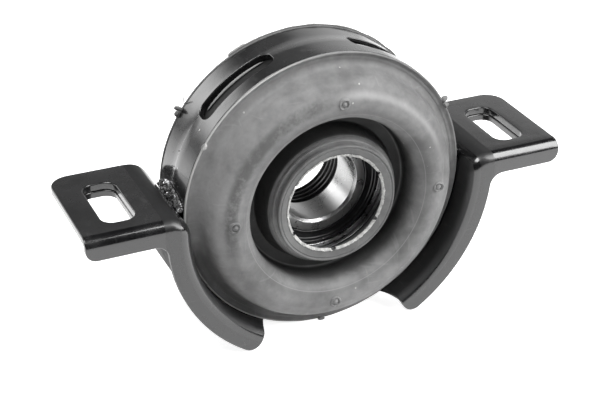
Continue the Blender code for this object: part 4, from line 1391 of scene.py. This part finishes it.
RACE_FRONT = 5.6 * MM
RACE_WIDTH = 16.0 * MM
RACE_REAR = RACE_FRONT + RACE_WIDTH
RACE_MIDDLE = RACE_FRONT + RACE_WIDTH / 2
BALL_RADIUS = 4.76 * MM


def groove(direction, pitch, rail, radius=BALL_RADIUS + GAP, steps=16):
    """Ball groove as (radius, y) points; direction -1 on the inner race, 1 on the outer."""
    half = asin(sqrt(radius ** 2 - (rail - pitch) ** 2) / radius)
    angles = [-half + 2 * half * k / steps for k in range(steps + 1)]
    return [(pitch + direction * radius * cos(a), RACE_MIDDLE + radius * sin(a)) for a in angles]


def race_levels(size):
    pitch = (size.bore + size.outer) / 2
    return pitch, pitch - 0.756 * BALL_RADIUS, pitch + 0.610 * BALL_RADIUS


def race_outline(wall, rail, face, edge):
    """Half section of a race: chamfered wall, two faces and the rail, marked at its middle."""
    return rounded([(face, RACE_FRONT, 0.15 * MM), (rail, RACE_FRONT, 0.2 * MM),
                    (rail, RACE_MIDDLE, 0), (rail, RACE_REAR, 0.2 * MM),
                    (face, RACE_REAR, 0.15 * MM), (wall, RACE_REAR - edge, 0.15 * MM),
                    (wall, RACE_FRONT + edge, 0.15 * MM)], 30)


class RacePieces(bpy.types.Operator):
    """Inner and outer race"""
    bl_idname = "bearing.races"
    bl_label = "Races"

    def execute(self, context):
        size = context.scene.bearing_races
        steel = ground_metal("ground steel", tuple(finish_settings().steel), 0.27)
        pitch, inner_rail, outer_rail = race_levels(size)
        for name, body, wall, rail, side in (
                ("inner", "inner_race", size.bore, inner_rail, -1),
                ("outer", "housing", size.outer, outer_rail, 1)):
            outline = race_outline(wall, rail, wall - side * size.chamfer, size.chamfer)
            middle = outline.index((rail, RACE_MIDDLE))
            outline[middle:middle + 1] = groove(side, pitch, rail)
            hand_over(turned(f"race_{name}", outline), body, steel,
                      [f"{name}_race"], smooth=25)
        return {'FINISHED'}


class BallPieces(bpy.types.Operator):
    """Balls and their moulded cage"""
    bl_idname = "bearing.balls"
    bl_label = "Balls and cage"

    def execute(self, context):
        size = context.scene.bearing_races
        steel = ground_metal("polished steel", tuple(finish_settings().steel), 0.06, 0.000001)
        pitch = race_levels(size)[0]
        places = []
        for k in range(size.balls):
            angle = 2 * pi * k / size.balls + pi / 2
            places.append(Vector((pitch * cos(angle), RACE_MIDDLE, pitch * sin(angle))))
        half_wall = 0.355 * BALL_RADIUS
        rear = RACE_REAR - 1.9 * MM
        cage = turned("cage", rounded([
            (pitch - half_wall, RACE_MIDDLE - 0.55 * BALL_RADIUS, 0.3 * MM),
            (pitch + half_wall, RACE_MIDDLE - 0.55 * BALL_RADIUS, 0.3 * MM),
            (pitch + half_wall, rear, 0.4 * MM), (pitch - half_wall, rear, 0.4 * MM)], 30), 216)

        def sphere(name, radius, place):
            return added(bpy.ops.mesh.primitive_uv_sphere_add, name, segments=48, ring_count=24,
                         radius=radius, location=place)

        cut(cage, join("pockets", [sphere("pocket", BALL_RADIUS + GAP, place) for place in places]))
        hand_over(cage, "ball_set", moulded_nylon(), ["ball_cage"])
        for k, place in enumerate(places, 1):
            ball = sphere(f"steel_ball_{k}", BALL_RADIUS, place)
            hand_over(ball, "ball_set", steel, [f"ball_{k}"], smooth=60, even=False)
        return {'FINISHED'}


class SealPieces(bpy.types.Operator):
    """Front and rear bearing seals and the ribbed dust seal behind them"""
    bl_idname = "bearing.seals"
    bl_label = "Seals"

    def execute(self, context):
        size = context.scene.bearing_races
        _, inner_rail, outer_rail = race_levels(size)
        low, high = (inner_rail + GAP) / MM, (outer_rail - GAP) / MM
        for word, face, inward in (("front", RACE_FRONT / MM, 1), ("rear", RACE_REAR / MM, -1)):
            def at(radius, depth, face=face, inward=inward):
                return radius, face + inward * depth
            corners = [
                (*at(low, 0.9), 0.1), (*at(low + 0.5, 0.45), 0.2), (*at(low + 1.3, 0.5), 0.2),
                (*at(low + 1.5, 0.85), 0.2), (*at(high - 2.6, 0.75), 0.2), (*at(high - 2.3, 0.45), 0.2),
                (*at(high - 1.4, 0.4), 0.2), (*at(high - 1.1, 0.12), 0.2), (*at(high - 0.5, 0.12), 0.2),
                (*at(high - 0.3, 0.5), 0.15), (*at(high, 0.55), 0.1), (*at(high, 1.6), 0.1),
                (*at(low, 1.6), 0.1)]
            seal = turned(f"{word}_lip_seal", scaled(rounded(corners, 20)), 224)
            hand_over(seal, "housing", seal_rubber(), [f"{word}_seal"], smooth=40)
        outer, front, rear, bore = 31.0, RACE_REAR / MM + 0.3, 28.8, 15.4
        nose = rear + 3.2
        corners = [(outer, front, 0.1), (outer, rear, 0.3), (27.5, rear, 0.4), (26.8, rear - 1.2, 0.4),
                   (25.0, rear - 1.2, 0.4), (bore + 8.6, rear, 0.6), (bore + 5.1, nose, 1.0),
                   (bore, nose, 0.3)]
        pitch = (nose - front) / 4
        for k in range(4):
            crest, root, end = (nose - pitch * (k + part) for part in (0.30, 0.42, 0.88))
            corners += [(bore, crest, 0.15), (bore + 0.9, root, 0.2), (bore + 0.9, end, 0.2)]
            if k < 3:
                corners += [(bore, nose - pitch * (k + 1), 0.15)]
        corners += [(bore, front, 0.2)]
        dust = turned("dust_seal", scaled(rounded(corners, 20)), 256)
        hand_over(dust, "housing", seal_rubber(), ["rear_dust_seal"], smooth=40)
        return {'FINISHED'}


class SleevePiece(bpy.types.Operator):
    """Pressed sleeve round the bearing, with its lip turned in at the front"""
    bl_idname = "bearing.sleeve"
    bl_label = "Bearing sleeve"

    def execute(self, context):
        corners = [(27.6, 3.5, 0.35), (33.1, 3.5, 1.5), (33.1, 30.4, 0.35), (31.3, 30.4, 0.25),
                   (31.3, 5.3, 0.2), (27.6, 5.3, 0.35)]
        sleeve = turned("steel_sleeve", scaled(rounded(corners, 14)), 256)
        metal = ground_metal("pressed steel", tuple(finish_settings().sleeve), 0.34, 0.000025)
        hand_over(sleeve, "housing", metal, ["bearing_sleeve"], smooth=30)
        return {'FINISHED'}


# ---------------------------------------------------------------- stage

def panel_light(name, power, width, height, place, aim):
    lamp = bpy.data.lights.new(name, 'AREA')
    lamp.shape = 'RECTANGLE'
    lamp.size, lamp.size_y = width, height
    lamp.energy = power
    holder = bpy.data.objects.new(name, lamp)
    bpy.context.scene.collection.objects.link(holder)
    holder.location = place
    holder.rotation_euler = (Vector(aim) - Vector(place)).to_track_quat('-Z', 'Y').to_euler()
    return holder


def pale_floor(size):
    """Floor that shows as plain white and takes only a faint shadow."""
    look = Look("pale floor", 0.9)
    tree = look.tree
    look.give('Specular IOR Level', 0.1)
    grain = noise_value(tree, look.vector, 9.0, 3.0)
    look.give('Base Color', look.mixed(grain, shade(size.floor, 0.985), tuple(size.floor)))
    ray = node(tree, 'ShaderNodeLightPath')
    mirrored = look.either(ray.outputs['Is Glossy Ray'], ray.outputs['Is Transmission Ray'])
    seen = look.sum(look.product(ray.outputs['Is Camera Ray'], 0.86), look.product(mirrored, 0.55))
    glow = node(tree, 'ShaderNodeEmission')
    tree.links.new(seen, glow.inputs['Strength'])
    both = node(tree, 'ShaderNodeAddShader')
    tree.links.new(look.shader.outputs[0], both.inputs[0])
    tree.links.new(glow.outputs[0], both.inputs[1])
    tree.links.new(both.outputs[0], tree.nodes["Material Output"].inputs['Surface'])
    return look.material


def studio_world(size):
    """White to the camera; in reflections a backdrop, a patch above it and a glow on the left."""
    world = bpy.data.worlds.new("studio")
    world.use_nodes = True
    tree = world.node_tree
    ray = node(tree, 'ShaderNodeLightPath').outputs
    way = node(tree, 'ShaderNodeSeparateXYZ')
    tree.links.new(node(tree, 'ShaderNodeTexCoord').outputs['Generated'], way.inputs[0])
    across, back, up = (way.outputs[axis] for axis in 'XYZ')
    behind = ranged(tree, back, -0.2, 0.3)
    backdrop = product(tree, behind, ranged(tree, up, 0.40, 0.505, 1.0, 0.0),
                       ranged(tree, across, 0.0, 0.6, 0.34, 0.85))
    upper = product(tree, behind, banded(tree, up, 0.50, 0.63, 0.05),
                    ranged(tree, across, -0.35, 0.35, 0.10, 0.32))
    glow = product(tree, behind, ranged(tree, up, 0.03, 0.26),
                   ranged(tree, up, 0.30, 0.60, 1.0, 0.0),
                   ranged(tree, across, -0.36, -0.05, size.rim, 0.0))
    mirrored = maths(tree, 'ADD', maths(tree, 'MAXIMUM', backdrop, upper), glow)
    mirrored = maths(tree, 'ADD', mirrored, 0.02)
    glossy = ray['Is Glossy Ray']
    even = product(tree, maths(tree, 'SUBTRACT', 1.0, glossy), size.ambient)
    level = maths(tree, 'ADD', product(tree, glossy, mirrored), even)
    level = maths(tree, 'MAXIMUM', level, ray['Is Camera Ray'])
    shown = tree.nodes["Background"]
    shown.inputs['Color'].default_value = (1, 1, 1, 1)
    tree.links.new(level, shown.inputs['Strength'])
    return world


def studio_camera(focal_length):
    """Camera fitted to the photograph."""
    lens = bpy.data.cameras.new("studio_camera")
    lens.sensor_width = 36.0
    lens.lens = focal_length
    lens.clip_start = 0.01
    camera = bpy.data.objects.new("studio_camera", lens)
    bpy.context.scene.collection.objects.link(camera)
    right = Vector((0.90954, -0.41546, 0.01122))
    up = Vector((0.19594, 0.45244, 0.87000))
    back = Vector((-0.36653, -0.78911, 0.49292))
    turn = Matrix((right, up, back)).transposed().to_4x4()
    camera.matrix_world = Matrix.Translation((-0.208974, -0.440126, 0.323058)) @ turn
    return camera


class StagePieces(bpy.types.Operator):
    """Pale floor, soft studio light and the camera"""
    bl_idname = "bearing.stage"
    bl_label = "Studio"

    def execute(self, context):
        size = context.scene.bearing_stage
        scene = context.scene
        floor = added(bpy.ops.mesh.primitive_plane_add, "studio_floor", size=6.0)
        floor.data.materials.append(pale_floor(size))
        scene.world = studio_world(size)
        aim = (0, 0, 0.06)
        panel_light("key_panel", size.key, 0.5, 1.0, (0.56, -0.42, 0.62), aim)
        panel_light("overhead_panel", size.fill, 0.6, 0.5, (-0.40, -0.15, 0.96), aim)
        scene.camera = studio_camera(size.lens)
        scene.view_settings.view_transform = 'Standard'
        return {'FINISHED'}


# ---------------------------------------------------------------- add-on

PIECES = (RingPiece, CushionPiece, NubPieces, FlashPieces, BracketPieces, SecondPlatePieces, WeldPieces,
          SleevePiece, RacePieces, BallPieces, SealPieces, StagePieces)


class BearingPanel(bpy.types.Panel):
    """Lists the settings and the pieces of the centre bearing"""
    bl_idname = "VIEW3D_PT_centre_bearing"
    bl_label = "Centre bearing"
    bl_space_type = 'VIEW_3D'
    bl_region_type = 'UI'
    bl_category = "Centre bearing"

    def draw(self, context):
        for name, group in SETTINGS.items():
            column = self.layout.box().column(align=True)
            for label in group.__annotations__:
                column.prop(getattr(context.scene, name), label)
        column = self.layout.column(align=True)
        for piece in PIECES:
            column.operator(piece.bl_idname)


def register():
    for name, group in SETTINGS.items():
        bpy.utils.register_class(group)
        setattr(bpy.types.Scene, name, PointerProperty(type=group))
    for piece in PIECES:
        bpy.utils.register_class(piece)
    bpy.utils.register_class(BearingPanel)


def unregister():
    bpy.utils.unregister_class(BearingPanel)
    for piece in reversed(PIECES):
        bpy.utils.unregister_class(piece)
    for name, group in SETTINGS.items():
        delattr(bpy.types.Scene, name)
        bpy.utils.unregister_class(group)


def main():
    register()
    bpy.ops.bearing.stage()
    bpy.ops.bearing.ring()
    bpy.ops.bearing.cushion()
    bpy.ops.bearing.nubs()
    bpy.ops.bearing.flash()
    bpy.ops.bearing.brackets()
    bpy.ops.bearing.second_plates()
    bpy.ops.bearing.welds()
    bpy.ops.bearing.sleeve()
    bpy.ops.bearing.races()
    bpy.ops.bearing.balls()
    bpy.ops.bearing.seals()


if __name__ == "__main__":
    main()
